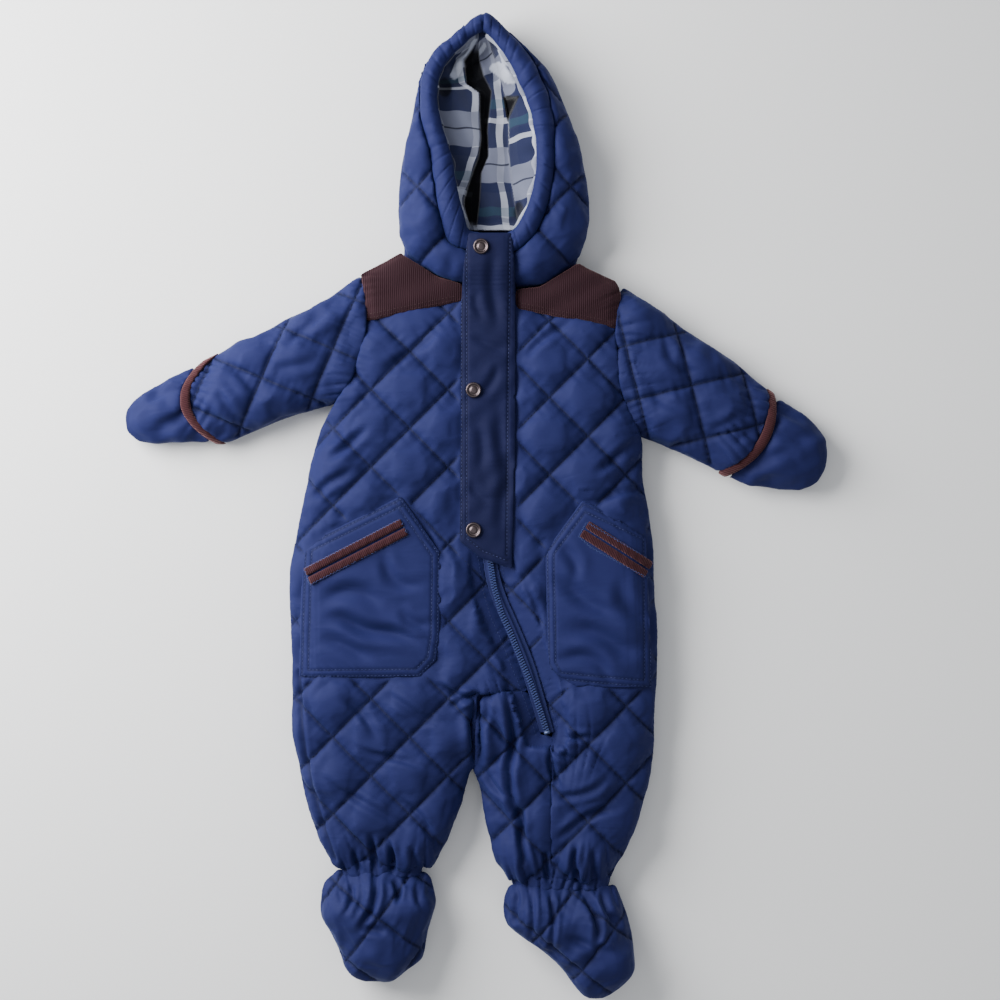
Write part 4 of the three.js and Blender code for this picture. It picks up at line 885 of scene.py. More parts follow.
for name, row in THIN.items():
    obj = netted(name, row["net"])
    co, normal, edges = points_of(obj), normals_of(obj), edges_of(obj)
    upper = (normal[:, 2] > 0.3)
    co[:, 2] = evened(co[:, 2], edges, upper, 30 if row["net"] > 1 else 2)
    put_points(obj, co)
    normal = normals_of(obj)
    facing = smoothstep(normal[:, 2], 0.3, 0.8)
    lift = plain_heights(name, co[:, 0], co[:, 1]) * facing
    sewn = np.zeros(len(co))
    for line in SEWN_LINES.get(name, []):
        away = gap_to_line(co[:, 0], co[:, 1], line)
        sewn = np.maximum(sewn, np.exp(-((away / 0.9) ** 2)))
        tight = uneven(co[:, 0] + co[:, 1], 5.5, 51) * np.exp(-((away / 3.0) ** 2))
        lift = lift + 0.22 * tight * facing
    co[:, 2] += lift - 0.7 * sewn * facing
    put_points(obj, co)
    # painted shade along the stitched lines, which the shell material reads as its seam attribute
    seam_shading = obj.data.attributes.new("seam", "FLOAT", "POINT")
    seam_shading.data.foreach_set("value", (0.75 * sewn * facing).astype(np.float32))
    finished(obj, "cloth_" + name, row["material"], 0)
    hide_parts(name)
    cloth_pieces[name] = obj
print("thin pieces", len(THIN))

# %% [markdown]
# ## Padded pieces
#
# A padded piece is two layers of cloth with wadding between them, sewn together along the quilting
# lines. Its puffs are drawn first, and then a short cloth simulation blows the piece up while its
# quilting lines, its seams and its hidden faces stay in place. The cloth is a little larger than the
# solid, so it wrinkles between the lines, as real padding does.

# %% Padded pieces: net size in mm, quilting, puff in mm, how full
PADDED = {
    "front_right": {"net": 3.4, "lattice": "front_right", "puff": 3.3, "fill": 0.55},
    "front_left": {"net": 3.4, "lattice": "front_left", "puff": 3.3, "fill": 0.55},
    "inner_leg_left": {"net": 3.4, "lattice": "front_left", "puff": 3.3, "fill": 0.5},
    "back_right": {"net": 5.0, "lattice": "front_right", "puff": 2.2, "fill": 0.4},
    "back_left": {"net": 5.0, "lattice": "front_left", "puff": 2.2, "fill": 0.4},
    "yoke_right": {"net": 2.4, "lattice": None, "puff": 0, "fill": 0.35},
    "yoke_left": {"net": 2.4, "lattice": None, "puff": 0, "fill": 0.35},
    "sleeve_right": {"net": 3.2, "lattice": "arm_right", "puff": 3.3, "fill": 0.6},
    "sleeve_left": {"net": 3.2, "lattice": "arm_left", "puff": 3.3, "fill": 0.6},
    "mitt_right": {"net": 3.0, "lattice": None, "puff": 0, "fill": 0.5},
    "mitt_left": {"net": 3.0, "lattice": None, "puff": 0, "fill": 0.5},
    "hood_right": {"net": 3.0, "lattice": "hood", "puff": 3.3, "fill": 0.55},
    "hood_left": {"net": 3.0, "lattice": "hood", "puff": 3.3, "fill": 0.55},
    "hood_back": {"net": 5.0, "lattice": "hood", "puff": 2.0, "fill": 0.4},
    "hood_casing_right": {"net": 1.9, "lattice": None, "puff": 0, "fill": 0.4},
    "hood_casing_left": {"net": 1.9, "lattice": None, "puff": 0, "fill": 0.4},
    "ankle_right": {"net": 2.6, "lattice": None, "puff": 0, "fill": 0.4},
    "ankle_left": {"net": 2.6, "lattice": None, "puff": 0, "fill": 0.4},
    "foot_right": {"net": 2.8, "lattice": "foot_right", "puff": 2.0, "fill": 0.55},
    "foot_left": {"net": 2.8, "lattice": "foot_left", "puff": 2.0, "fill": 0.55},
    "sole_right": {"net": 4.0, "lattice": None, "puff": 0, "fill": 0.4},
    "sole_left": {"net": 4.0, "lattice": None, "puff": 0, "fill": 0.4},
}
MIDDLE = 15.0
SEAM_FULLNESS = 0.7
# rounds of evening on the solid's upper face
EVENING = {"casing": 16, "other": 22}
# how far a hood wall may sink while it is evened
HOOD_SAG = 1.2
RIM_REACH = {"low": 37.5, "high": 43.0, "down": 6.5, "from": 318.0, "to": 342.0}
HOOD_TIP = {"x": 6.3, "y": 365.0}
# how far the cloth beside an ankle's elastic hangs over it, in mm
OVERHANG = {"leg": {"shift": -6.5, "reach": 26.0}, "foot": {"shift": 3.2, "reach": 14.0}}
# how far the overhanging cloth is drawn in towards the middle of its leg
LEG_DRAW, LEG_CENTRE = 0.07, 72.0
HOOD_CENTRE = {"x": 8.0, "y": 300.0, "wide": 45.0, "tall": 82.0, "radius": 66.0}


def casing_run(x, y):
    """How far round the hood's opening a point is, in mm."""
    across = (x - HOOD_CENTRE["x"]) / HOOD_CENTRE["wide"]
    along = (y - HOOD_CENTRE["y"]) / HOOD_CENTRE["tall"]
    return np.arctan2(across, along) * HOOD_CENTRE["radius"]


def cover_grid():
    """Heights that the puffs keep under, because a pocket, the placket or the zip lies on them."""
    xs = np.arange(-290, 291, COVER_STEP)
    ys = np.arange(-400, 401, COVER_STEP)
    limit = np.full((len(xs), len(ys)), OPEN_HEIGHT)
    graph = bpy.context.evaluated_depsgraph_get()
    for name, drop in COVERS.items():
        tree = BVHTree.FromObject(cloth_pieces.get(name) or nodes[name], graph)
        low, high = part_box(name)
        for i in np.nonzero((xs > low.x / MM - 2) & (xs < high.x / MM + 2))[0]:
            for j in np.nonzero((ys > low.y / MM - 2) & (ys < high.y / MM + 2))[0]:
                hit = tree.ray_cast(Vector((xs[i] * MM, ys[j] * MM, 0.1)), Vector((0, 0, -1)))[0]
                if hit:
                    limit[i, j] = min(limit[i, j], hit.z / MM - drop)
    # a cover's rounded rim counts as high as the cloth just inside it
    covered = limit < OPEN_HEIGHT
    top = np.where(covered, limit, 0.0)
    for i in (-1, 0, 1):
        for j in (-1, 0, 1):
            top = np.maximum(top, np.roll(np.where(covered, limit, 0.0), (i, j), (0, 1)))
    limit = np.where(covered, top, OPEN_HEIGHT)
    wide = limit.copy()
    for i in range(-COVER_REACH, COVER_REACH + 1):
        for j in range(-COVER_REACH, COVER_REACH + 1):
            away = math.hypot(i, j) * COVER_STEP
            rise = 0.32 * away + 0.8 * float(smoothstep(away, 1.0, 5.0))
            wide = np.minimum(wide, np.roll(limit, (i, j), (0, 1)) + rise)
    return xs, ys, wide


COVERS = {"pocket_right": 1.2, "pocket_left": 1.2, "placket": 1.6, "zip_tape": 1.8}
COVER_STEP, COVER_REACH, OPEN_HEIGHT = 1.5, 7, 90.0
cover_x, cover_y, cover_z = cover_grid()


def cover_limit(x, y):
    u = np.clip((x - cover_x[0]) / COVER_STEP, 0, len(cover_x) - 1.001)
    v = np.clip((y - cover_y[0]) / COVER_STEP, 0, len(cover_y) - 1.001)
    i, j = u.astype(int), v.astype(int)
    u, v = u - i, v - j
    near = cover_z[i, j] * (1 - v) + cover_z[i, j + 1] * v
    far = cover_z[i + 1, j] * (1 - v) + cover_z[i + 1, j + 1] * v
    return near * (1 - u) + far * u


def drawn(name, row):
    """The piece with an even net and its puffs, gathers and creases in its upper face."""
    lattice = LATTICES.get(row["lattice"])
    obj = netted(name, row["net"], lattice)
    co, normal, edges = points_of(obj), normals_of(obj), edges_of(obj)
    under_layer = name.startswith(("back", "sole", "hood_back"))
    whole = name.startswith(("sleeve", "mitt", "ankle"))
    upper = (normal[:, 2] > 0.18) & (co[:, 2] > (2 if whole else MIDDLE + 1.5))
    lower = (normal[:, 2] < -0.18) & (co[:, 2] < MIDDLE - 1.5)
    if name.startswith("hood_casing"):
        upper = normal[:, 2] > -2
    rounds = EVENING["casing" if name.startswith("hood_casing") else "other"]
    if not under_layer:
        if name.startswith("hood_casing"):
            at_tip = (1 - smoothstep(np.abs(co[:, 0] - HOOD_TIP["x"]), 1.5, 7)) * (co[:, 1] > HOOD_TIP["y"])
            for axis in range(3):
                soft = evened(co[:, axis], edges, upper, rounds)
                co[:, axis] = soft + (co[:, axis] - soft) * at_tip
        else:
            flat = evened(co[:, 2], edges, upper, rounds)
            # a hood wall is narrow at the hood's tip, and it keeps its height there
            co[:, 2] = np.maximum(flat, co[:, 2] - HOOD_SAG) if name.startswith("hood") else flat
        put_points(obj, co)
        normal = normals_of(obj)
    x, y = co[:, 0], co[:, 1]
    upright = 1 - smoothstep(np.abs(normal[:, 2]), 0.3, 0.8)
    lift = np.zeros(len(co)) if under_layer else SEAM_FULLNESS * upright
    facing = smoothstep(normal[:, 2], 0.12, 0.55)
    still = ~(upper if not under_layer else lower)
    if whole:
        still = ~(upper | lower)
    if lattice:
        swell = puffs(x, y, lattice)
        if under_layer:
            lift = lift - row["puff"] * (1 - swell) * smoothstep(-normal[:, 2], 0.5, 0.9)
        else:
            bare = plain_share(x, y) if name.startswith(("front", "inner")) else 0
            lift = lift + (row["puff"] * swell - 1.6) * facing * (1 - bare)
            if whole:
                lift = lift - 1.5 * (1 - swell) * smoothstep(-normal[:, 2], 0.4, 0.9)
        to_u, to_v = line_distance(x, y, lattice)
        still = still | (np.minimum(to_u, to_v) < 0.6)
    seed = sum(map(ord, name))
    if name.startswith("hood_casing"):
        folds = uneven(casing_run(x, y), 15.0, 21)
        lift = lift + 1.0 + 0.35 * folds * smoothstep(normal[:, 2], -0.4, 0.3)
    if name.startswith(("foot", "mitt", "yoke")):
        rough = uneven(x * 0.8 + y * 0.6, 26.0, seed) + uneven(x * 0.5 - y * 0.9, 19.0, seed + 4)
        lift = lift + (0.35 if name.startswith("yoke") else 0.7) * rough * facing
    co = co + normal * lift[:, None]
    if name.startswith("hood_casing"):
        # the rim's lower side reaches down to the hood's wall, which ends lower towards the tip
        under = 1 - smoothstep(co[:, 2], RIM_REACH["low"], RIM_REACH["high"])
        co[:, 2] -= RIM_REACH["down"] * under * smoothstep(co[:, 1], RIM_REACH["from"], RIM_REACH["to"])
    if name.startswith(("front", "inner", "foot")):
        over = OVERHANG["foot" if name.startswith("foot") else "leg"]
        edge = co[:, 1].max() if name.startswith("foot") else co[:, 1].min()
        near = 1 - smoothstep(np.abs(co[:, 1] - edge), 0, over["reach"])
        ragged = 1 + 0.35 * uneven(co[:, 0], 16.0, seed + 9)
        co[:, 1] += over["shift"] * near * ragged
        co[:, 2] -= 2.0 * near**2 * (co[:, 2] > MIDDLE + 2)
        if not name.startswith("foot"):
            co[:, 0] -= LEG_DRAW * near**2 * (co[:, 0] - np.sign(co[:, 0]) * LEG_CENTRE)
    co[:, 2] = np.clip(co[:, 2], 0.0, cover_limit(co[:, 0], co[:, 1]))
    put_points(obj, co)
    hold = obj.vertex_groups.new(name="hold")
    hold.add(np.nonzero(still)[0].tolist(), 1.0, "REPLACE")
    obj["free"] = int((~still).sum())
    return obj


work = {}
for name, row in PADDED.items():
    work[name] = drawn(name, row)
print("points to simulate", sum(len(o.data.vertices) for o in work.values()))

# %% [markdown]
# The simulation runs twenty frames on all the padded pieces that have wadding to show. The pressure
# pushes the cloth out, there is no gravity, and no point may move further than a few millimetres.

# %% Blowing up the padding
WITH_WADDING = ("front", "inner", "sleeve", "mitt", "hood_right", "hood_left", "foot")
BLOWN = [name for name in PADDED if name.startswith(WITH_WADDING)]
FRAMES = 20
MOST = 2.0

before = {name: points_of(work[name]) for name in BLOWN}
for name in BLOWN:
    cloth = work[name].modifiers.new("cloth", "CLOTH")
    cloth.settings.quality = 4
    cloth.settings.mass = 0.2
    cloth.settings.tension_stiffness = 12
    cloth.settings.compression_stiffness = 12
    cloth.settings.shear_stiffness = 6
    cloth.settings.bending_stiffness = 0.8
    cloth.settings.use_pressure = True
    cloth.settings.uniform_pressure_force = 2.0
    cloth.settings.shrink_min = -0.05
    cloth.settings.vertex_group_mass = "hold"
    cloth.settings.effector_weights.gravity = 0.0
    cloth.collision_settings.use_collision = False
    cloth.collision_settings.use_self_collision = False
    cloth.point_cache.frame_start = 1
    cloth.point_cache.frame_end = FRAMES
for number in range(1, FRAMES + 1):
    bpy.context.scene.frame_set(number)
for name in BLOWN:
    applied(work[name])
    co = points_of(work[name])
    moved = co - before[name]
    edges, every = edges_of(work[name]), np.ones(len(co), bool)
    moved = np.stack([evened(moved[:, axis], edges, every, 3) for axis in range(3)], 1)
    far = np.maximum(np.linalg.norm(moved, axis=1), 1e-9)
    co = before[name] + moved * np.minimum(1, MOST / far)[:, None]
    co[:, 2] = np.maximum(co[:, 2], 0.0)
    put_points(work[name], co)
    print(name, "moved", round(float(np.percentile(far, 95)), 2), "mm at most places")
bpy.context.scene.frame_set(1)


# %% [markdown]
# After that each net is divided once, except those of the backs, the soles and the hood's back, and the
# small puckers along the stitching are added, which the coarse net could not hold.


# %% Finer surface
# the side seam, which has rolled onto the front below the right pocket
SIDE_SEAM = [(-141, -132), (-140, -160), (-136, -196), (-131, -222), (-121, -256), (-112, -280)]
SEAM_DEPTH, SEAM_WIDTH = 2.3, 1.1
MATERIAL_OF = {"yoke": (yoke_corduroy, "corduroy")}
for name, row in PADDED.items():
    material, slot = MATERIAL_OF.get(name.split("_")[0], (quilted, "quilted_shell"))
    flat_side = name.startswith(("back", "sole", "hood_back"))
    obj = finished(work[name], "cloth_" + name, material, 0 if flat_side else 1)
    if not flat_side:
        co, normal = points_of(obj), normals_of(obj)
        x, y = co[:, 0], co[:, 1]
        facing = smoothstep(normal[:, 2], 0.12, 0.55) * (co[:, 2] > MIDDLE + 1.5)
        open_share = smoothstep(cover_limit(x, y) - co[:, 2], 0.5, 4.0)
        fine = np.zeros(len(co))
        sewn = np.zeros(len(co))
        if row["lattice"]:
            lattice = LATTICES[row["lattice"]]
            to_u, to_v = line_distance(x, y, lattice)
            near = np.minimum(to_u, to_v)
            fine = 0.35 * puckers(x, y, lattice, 31) - SEAM_DEPTH * np.exp(-near / SEAM_WIDTH)
            quilted_share = 1 - plain_share(x, y) * name.startswith(("front", "inner"))
            sewn = np.exp(-((near / 1.2) ** 2)) * quilted_share
            fine = fine * quilted_share
        if name == "front_right":
            beside = gap_to_line(x, y, SIDE_SEAM)
            fine = fine - 1.6 * np.exp(-((beside / 1.6) ** 2)) + 0.9 * np.exp(-(((beside - 4.0) / 2.2) ** 2))
            sewn = np.maximum(sewn, 0.8 * np.exp(-((beside / 1.2) ** 2)))
        if not name.startswith("hood"):
            fine = fine + gather_heights(x, y, 7) * (0.55 if name.startswith("foot") else 1.0)
            fine = fine + crease_heights(x, y, CREASES + ARM_CREASES, 3) * open_share
        if name.startswith("hood_casing"):
            folds = uneven(casing_run(x, y), 27.0, 25, 3)
            fine = fine + 0.7 * (0.2 - np.exp(-((folds / 0.2) ** 2)))
        co = co + normal * (fine * facing)[:, None]
        co[:, 2] = np.clip(co[:, 2], 0.0, cover_limit(co[:, 0], co[:, 1]))
        put_points(obj, co)
        # painted shade along the quilting lines and the side seam, which the shell material reads as its seam
        # attribute
        seam_shading = obj.data.attributes.new("seam", "FLOAT", "POINT")
        seam_shading.data.foreach_set("value", (sewn * facing).astype(np.float32))
    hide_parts(name)
    cloth_pieces[name] = obj
print("padded pieces", len(cloth_pieces))

# %% [markdown]
# ## Mitt trims, snaps and the zip
#
# The corduroy trims stand round the mouths of the mitts. The snaps are turned metal caps: a raised
# ring round a low dome. The zip's tape lies sunk between the fronts; its chain is two rows of small
# teeth that mesh, and a metal stop ends it.

# %% Mitt trims and zip tape
for name, net in (("mitt_trim_right", 1.6), ("mitt_trim_left", 1.6)):
    obj = netted(name, net)
    co, normal, edges = points_of(obj), normals_of(obj), edges_of(obj)
    upper = normal[:, 2] > 0.1
    for axis in range(3):
        co[:, axis] = evened(co[:, axis], edges, upper, 4)
    put_points(obj, co)
    finished(obj, "cloth_" + name, trim_corduroy, 0)
    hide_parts(name)
    cloth_pieces[name] = obj

tape = netted("zip_tape", 0.8)
finished(tape, "cloth_zip_tape", zip_cloth, 0)
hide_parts("zip_tape")
cloth_pieces["zip_tape"] = tape
print("zip tape and trims made")

# %% Snaps
# distance from the middle and height over the cloth, in mm
SNAP_PROFILE = [
    (0.0, 1.7),
    (1.6, 1.75),
    (2.6, 1.5),
    (3.1, 0.9),
    (3.7, 0.8),
    (4.3, 1.3),
    (4.9, 2.2),
    (5.5, 2.3),
    (6.0, 1.7),
    (6.2, 0.6),
    (6.0, 0.0),
    (0.0, 0.0),
]
SNAP_SIDES = 48
for name in ("snap_top", "snap_middle", "snap_bottom"):
    low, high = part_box(name)
    middle_x, middle_y = (low.x + high.x) / 2, (low.y + high.y) / 2
    net = bmesh.new()
    rings = []
    for reach, up in SNAP_PROFILE:
        if reach == 0:
            rings.append([net.verts.new((middle_x, middle_y, low.z + up * MM))])
            continue
        ring = []
        for i in range(SNAP_SIDES):
            turn = 2 * math.pi * i / SNAP_SIDES
            x, y = middle_x + reach * MM * math.cos(turn), middle_y + reach * MM * math.sin(turn)
            ring.append(net.verts.new((x, y, low.z + up * MM)))
        rings.append(ring)
    for inner, outer in zip(rings, rings[1:]):
        for i in range(SNAP_SIDES):
            j = (i + 1) % SNAP_SIDES
            near_side = [inner[i % len(inner)], outer[i % len(outer)]]
            far_side = [outer[j % len(outer)], inner[j % len(inner)]]
            net.faces.new(list(dict.fromkeys(near_side + far_side)))
    bmesh.ops.recalc_face_normals(net, faces=net.faces)
    mesh = bpy.data.meshes.new("cap_" + name)
    net.to_mesh(mesh)
    net.free()
    cap = bpy.data.objects.new("cap_" + name, mesh)
    bpy.context.scene.collection.objects.link(cap)
    finished(cap, "cap_" + name, snap_metal, 0)
    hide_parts(name)
print("snaps", SNAP_SIDES, "sides")

# %% [markdown]
# ## Small things that repeat
#
# Stitches and zip teeth are laid along lines. Each line is walked in equal steps, every stitch's step is
# dropped onto the finished cloth while the teeth keep one height, and a Geometry Nodes tree puts one
# small thread or tooth on each point, turned along the line and, for a stitch, lying on the cloth.


# %% Trees for stitches and teeth
def repeat_tree(title, shape, settings):
    tree = bpy.data.node_groups.new(title, "GeometryNodeTree")
    face = tree.interface
    face.new_socket("Points", in_out="INPUT", socket_type="NodeSocketGeometry")
    face.new_socket("Size", in_out="INPUT", socket_type="NodeSocketVector")
    face.new_socket("Material", in_out="INPUT", socket_type="NodeSocketMaterial")
    face.new_socket("Pieces", in_out="OUTPUT", socket_type="NodeSocketGeometry")
    made = Tree(tree)
    start = made.add("NodeGroupInput")
    end = made.add("NodeGroupOutput")
    one = made.add(shape, settings)
    sized = made.add("GeometryNodeTransform")
    made.join(one, "Mesh", sized, "Geometry")
    made.join(start, "Size", sized, "Scale")
    along = made.add("GeometryNodeInputNamedAttribute", {"Name": "along"}, data_type="FLOAT_VECTOR")
    up = made.add("GeometryNodeInputNamedAttribute", {"Name": "up"}, data_type="FLOAT_VECTOR")
    turn = made.add("FunctionNodeAxesToRotation", primary_axis="Z", secondary_axis="Y")
    tree.links.new(along.outputs[0], turn.inputs[1])
    tree.links.new(up.outputs[0], turn.inputs[0])
    put = made.add("GeometryNodeInstanceOnPoints")
    made.join(start, "Points", put, "Points")
    made.join(sized, "Geometry", put, "Instance")
    tree.links.new(turn.outputs[0], put.inputs["Rotation"])
    real = made.add("GeometryNodeRealizeInstances")
    made.join(put, "Instances", real, "Geometry")
    painted = made.add("GeometryNodeSetMaterial")
    made.join(real, "Geometry", painted, "Geometry")
    made.join(start, "Material", painted, "Material")
    made.join(painted, "Geometry", end, "Pieces")
    return tree


stitch_tree = repeat_tree("stitches", "GeometryNodeMeshUVSphere", {"Segments": 5, "Rings": 3, "Radius": 0.5})
tooth_tree = repeat_tree("teeth", "GeometryNodeMeshCube", {"Size": (1.0, 1.0, 1.0)})


def repeated(title, tree, points, size, material):
    """One small thing on each point. A point is a row of place, direction along and direction up, in
    metres, and size is the thing's width, length and height in mm."""
    mesh = bpy.data.meshes.new(title)
    mesh.from_pydata([row[0] for row in points], [], [])
    for name, column in (("along", 1), ("up", 2)):
        values = np.array([row[column] for row in points], np.float32)
        mesh.attributes.new(name, "FLOAT_VECTOR", "POINT").data.foreach_set("vector", values.ravel())
    obj = bpy.data.objects.new(title, mesh)
    bpy.context.scene.collection.objects.link(obj)
    laid = obj.modifiers.new("laid", "NODES")
    laid.node_group = tree
    sockets = {item.name: item.identifier for item in tree.interface.items_tree if item.in_out == "INPUT"}
    laid[sockets["Size"]] = [v * MM for v in size]
    laid[sockets["Material"]] = material
    applied(obj)
    obj.name = title
    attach(obj, "root")
    print(title, len(points), "pieces", len(obj.data.polygons), "faces")
    return obj


# %% Lines walked in steps, and dropped onto the cloth
DROP_HEIGHT = 0.12
graph = bpy.context.evaluated_depsgraph_get()
drop_trees = {name: BVHTree.FromObject(obj, graph) for name, obj in cloth_pieces.items()}


def steps_along(line, step):
    """Points at equal steps along a line of (x, y) points, each with its direction."""
    line = np.array(line, float)
    lengths = np.hypot(*np.diff(line, axis=0).T)
    reach = np.concatenate([[0], np.cumsum(lengths)])
    at = np.arange(step / 2, reach[-1], step)
    x, y = np.interp(at, reach, line[:, 0]), np.interp(at, reach, line[:, 1])
    leg = np.clip(np.searchsorted(reach, at) - 1, 0, len(lengths) - 1)
    way = np.diff(line, axis=0)[leg] / lengths[leg][:, None]
    return list(zip(x, y, way[:, 0], way[:, 1]))


def dropped(line, step, names, raised=0.05, steep=0.35):
    """The steps of a line on the first of the named pieces that lies under each, seen from above."""
    found = []
    for x, y, dx, dy in steps_along(line, step):
        best = None
        for name in names:
            above = Vector((x * MM, y * MM, DROP_HEIGHT))
            place, normal, _, _ = drop_trees[name].ray_cast(above, Vector((0, 0, -1)))
            if place and (best is None or place.z > best[0].z):
                best = (place, normal)
        if best is None or best[1].z < steep:
            continue
        place, up = best
        along = Vector((dx, dy, 0))
        along = (along - up * along.dot(up)).normalized()
        found.append((tuple(place + up * raised * MM), tuple(along), tuple(up)))
    return found


# %% Quilting stitches
QUILT_STEP = 3.4
quilting = []
for name, row in PADDED.items():
    if not row["lattice"] or name.startswith(("back", "hood_back")):
        continue
    lattice = LATTICES[row["lattice"]]
    low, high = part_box(name)
    turn = math.radians(lattice["turn"])
    reach = 420.0
    for family in (45, 135):
        way = (math.cos(turn + math.radians(family)), math.sin(turn + math.radians(family)))
        for number in range(-12, 13):
            start_x = lattice["x"] - way[1] * number * LINE_SPACING
            start_y = lattice["y"] + way[0] * number * LINE_SPACING
            line = []
            for share in np.arange(-reach, reach, QUILT_STEP):
                x, y = start_x + way[0] * share, start_y + way[1] * share
                if low.x / MM < x < high.x / MM and low.y / MM < y < high.y / MM:
                    line.append((x, y))
            if len(line) > 1:
                quilting += dropped(line, QUILT_STEP, [name], 0.0)
free = []
for point in quilting:
    x, y, z = (value / MM for value in point[0])
    if cover_limit(np.array([x]), np.array([y]))[0] > z + 0.4:
        free.append(point)
repeated("stitches_quilting", stitch_tree, free, (0.5, 2.3, 0.45), thread)


# %% Top stitching
TOP_STEP = 3.0
sewing = []
for name, lines in SEWN_LINES.items():
    for line in lines:
        sewing += dropped(line, TOP_STEP, [name])
ZIP_LINE = [
    (8.0, -30),
    (11, -42.2),
    (14.2, -63.8),
    (19.8, -83.8),
    (27.8, -101.4),
    (35, -119.8),
    (43.8, -141.4),
    (51, -162.2),
    (56.6, -179.8),
]
for away in (-9.0, 9.0):
    sewing += dropped(moved_in(ZIP_LINE, away), TOP_STEP, ["front_right", "front_left", "inner_leg_left"])
repeated("stitches_top", stitch_tree, sewing, (0.55, 2.2, 0.5), thread_light)

# %% Stitching on the corduroy
brown = []
for name in ("yoke_right", "yoke_left"):
    co = points_of(cloth_pieces[name])
    upper = co[co[:, 2] > MIDDLE + 6]
    xs = np.arange(upper[:, 0].min() + 4, upper[:, 0].max() - 3, 3.0)
    lowest = [upper[np.abs(upper[:, 0] - x) < 2.0][:, 1].min() for x in xs]
    for away in (2.2, 5.2):
        brown += dropped([(x, y + away) for x, y in zip(xs, lowest)], 2.8, [name])
repeated("stitches_yoke", stitch_tree, brown, (0.5, 2.1, 0.45), brown_thread)

WELT_BLOCKS = {
    "right": [(-136.2, -48.6), (-132.3, -61.6), (-53.8, -22.2), (-60.2, -9.4)],
    "left": [(87.6, -11.8), (81.6, -23), (91, -31.8), (140.4, -58.2), (140.4, -43)],
}
zigzag = []
for side, corners in WELT_BLOCKS.items():
    ring = corners + [corners[0]]
    run = steps_along(ring, 1.5)
    for number, (x, y, dx, dy) in enumerate(run):
        swing = 1 if number % 2 else -1
        reach_x, reach_y = dx * 0.8 - dy * swing, dy * 0.8 + dx * swing
        tilted = [(x - reach_x, y - reach_y), (x + reach_x, y + reach_y)]
        zigzag += dropped(tilted, 2.4, ["pocket_" + side, "welt_upper_" + side, "welt_lower_" + side], 0.1)
repeated("stitches_welt", stitch_tree, zigzag, (0.5, 2.4, 0.45), welt_thread)

# %% Zip chain and stop
TOOTH_PITCH = 2.1
teeth = []
for side in (-1, 1):
    line = moved_in(ZIP_LINE[1:], side * 1.1)
    run = steps_along(line, TOOTH_PITCH)
    for x, y, dx, dy in run:
        shift = 0.25 * side * TOOTH_PITCH
        teeth.append((((x + dx * shift) * MM, (y + dy * shift) * MM, 0.0301), (dx, dy, 0.0), (0.0, 0.0, 1.0)))
repeated("zip_chain", tooth_tree, teeth, (2.3, 1.0, 1.3), chain_plastic)

stop_net = bmesh.new()
bmesh.ops.create_cube(stop_net, size=1.0)
bmesh.ops.scale(stop_net, verts=stop_net.verts, vec=(5.0 * MM, 2.6 * MM, 2.0 * MM))
bmesh.ops.bevel(stop_net, geom=stop_net.edges[:], offset=0.5 * MM, segments=2, affect="EDGES")
bmesh.ops.rotate(stop_net, verts=stop_net.verts, matrix=Matrix.Rotation(math.radians(18), 3, "Z"))
bmesh.ops.translate(stop_net, verts=stop_net.verts, vec=(0.0565, -0.1792, 0.0305))
stop_mesh = bpy.data.meshes.new("zip_stop")
stop_net.to_mesh(stop_mesh)
stop_net.free()
stop = bpy.data.objects.new("zip_stop", stop_mesh)
bpy.context.scene.collection.objects.link(stop)
finished(stop, "zip_stop", steel, 0)
print("zip teeth", len(teeth))

# %% [markdown]
# ## Hood lining
#
# The hood is empty, so its flannel lining has sunk in: a flap from the left rim ends in a loose fold
# edge, a narrow hollow runs beside it, the middle lies low, and a second flap from the right rim
# overlaps it. The lining is made as one sheet over the opening, row by row, with its edge turned up
# against the rim. Its flat place is kept in the UV map, a little different on each side of a fold.

# %% Lining shape
# x of a fold's edge at each height y, in mm
FLAP_EDGE = [
    (221, -10.6), (246, -9.9), (260, -5.8), (270, -2.3), (281, 1.8), (295, 3.5),
    (315, 2.5), (331, 2.5), (338, -8.0), (357, -9.9), (366, -3.0), (372, 1.0),
]
HOLLOW_END = [
    (222, -0.2), (246, 2.5), (268, 3.9), (281, 9.6), (301, 8.7), (321, 10.8),
    (333, 12.2), (345, 5.9), (357, 2.5), (366, 1.5), (372, 3.0),
]
SECOND_EDGE = [(222, 34.2), (247, 30.2), (281, 26.2), (315, 26.2), (346, 19.0), (372, 10.0)]
WHITE_STRIPE = [(218, 25.4), (260, 19.8), (329, 18.2), (372, 12.0)]
LINING_ROWS, LINING_COLUMNS = 130, 96
RIM_HEIGHT, FLAP_DROP, HOLLOW_FLOOR, MIDDLE_FLOOR = 34.5, 8.0, 16.4, 21.5
LINING_WALL = 1.1
PEAK = {"y": 382.5, "x0": 0.0, "x1": 11.0}
# hollow places: middle, half sizes and depth in mm, and how dark their painted shade is
HOLLOWS = [
    {"x": 34.0, "y": 236.0, "wide": 4.0, "tall": 8.0, "deep": 4.0, "dark": 0.8},
    {"x": -25.0, "y": 334.0, "wide": 6.0, "tall": 8.0, "deep": 3.0, "dark": 0.75},
]
# corners of the opening under the crumpled top, in order round it; it sinks and is painted near black as
# shade
DARK_POCKET = [(21.4, 328.4), (25.0, 307.5), (34.4, 326.6)]
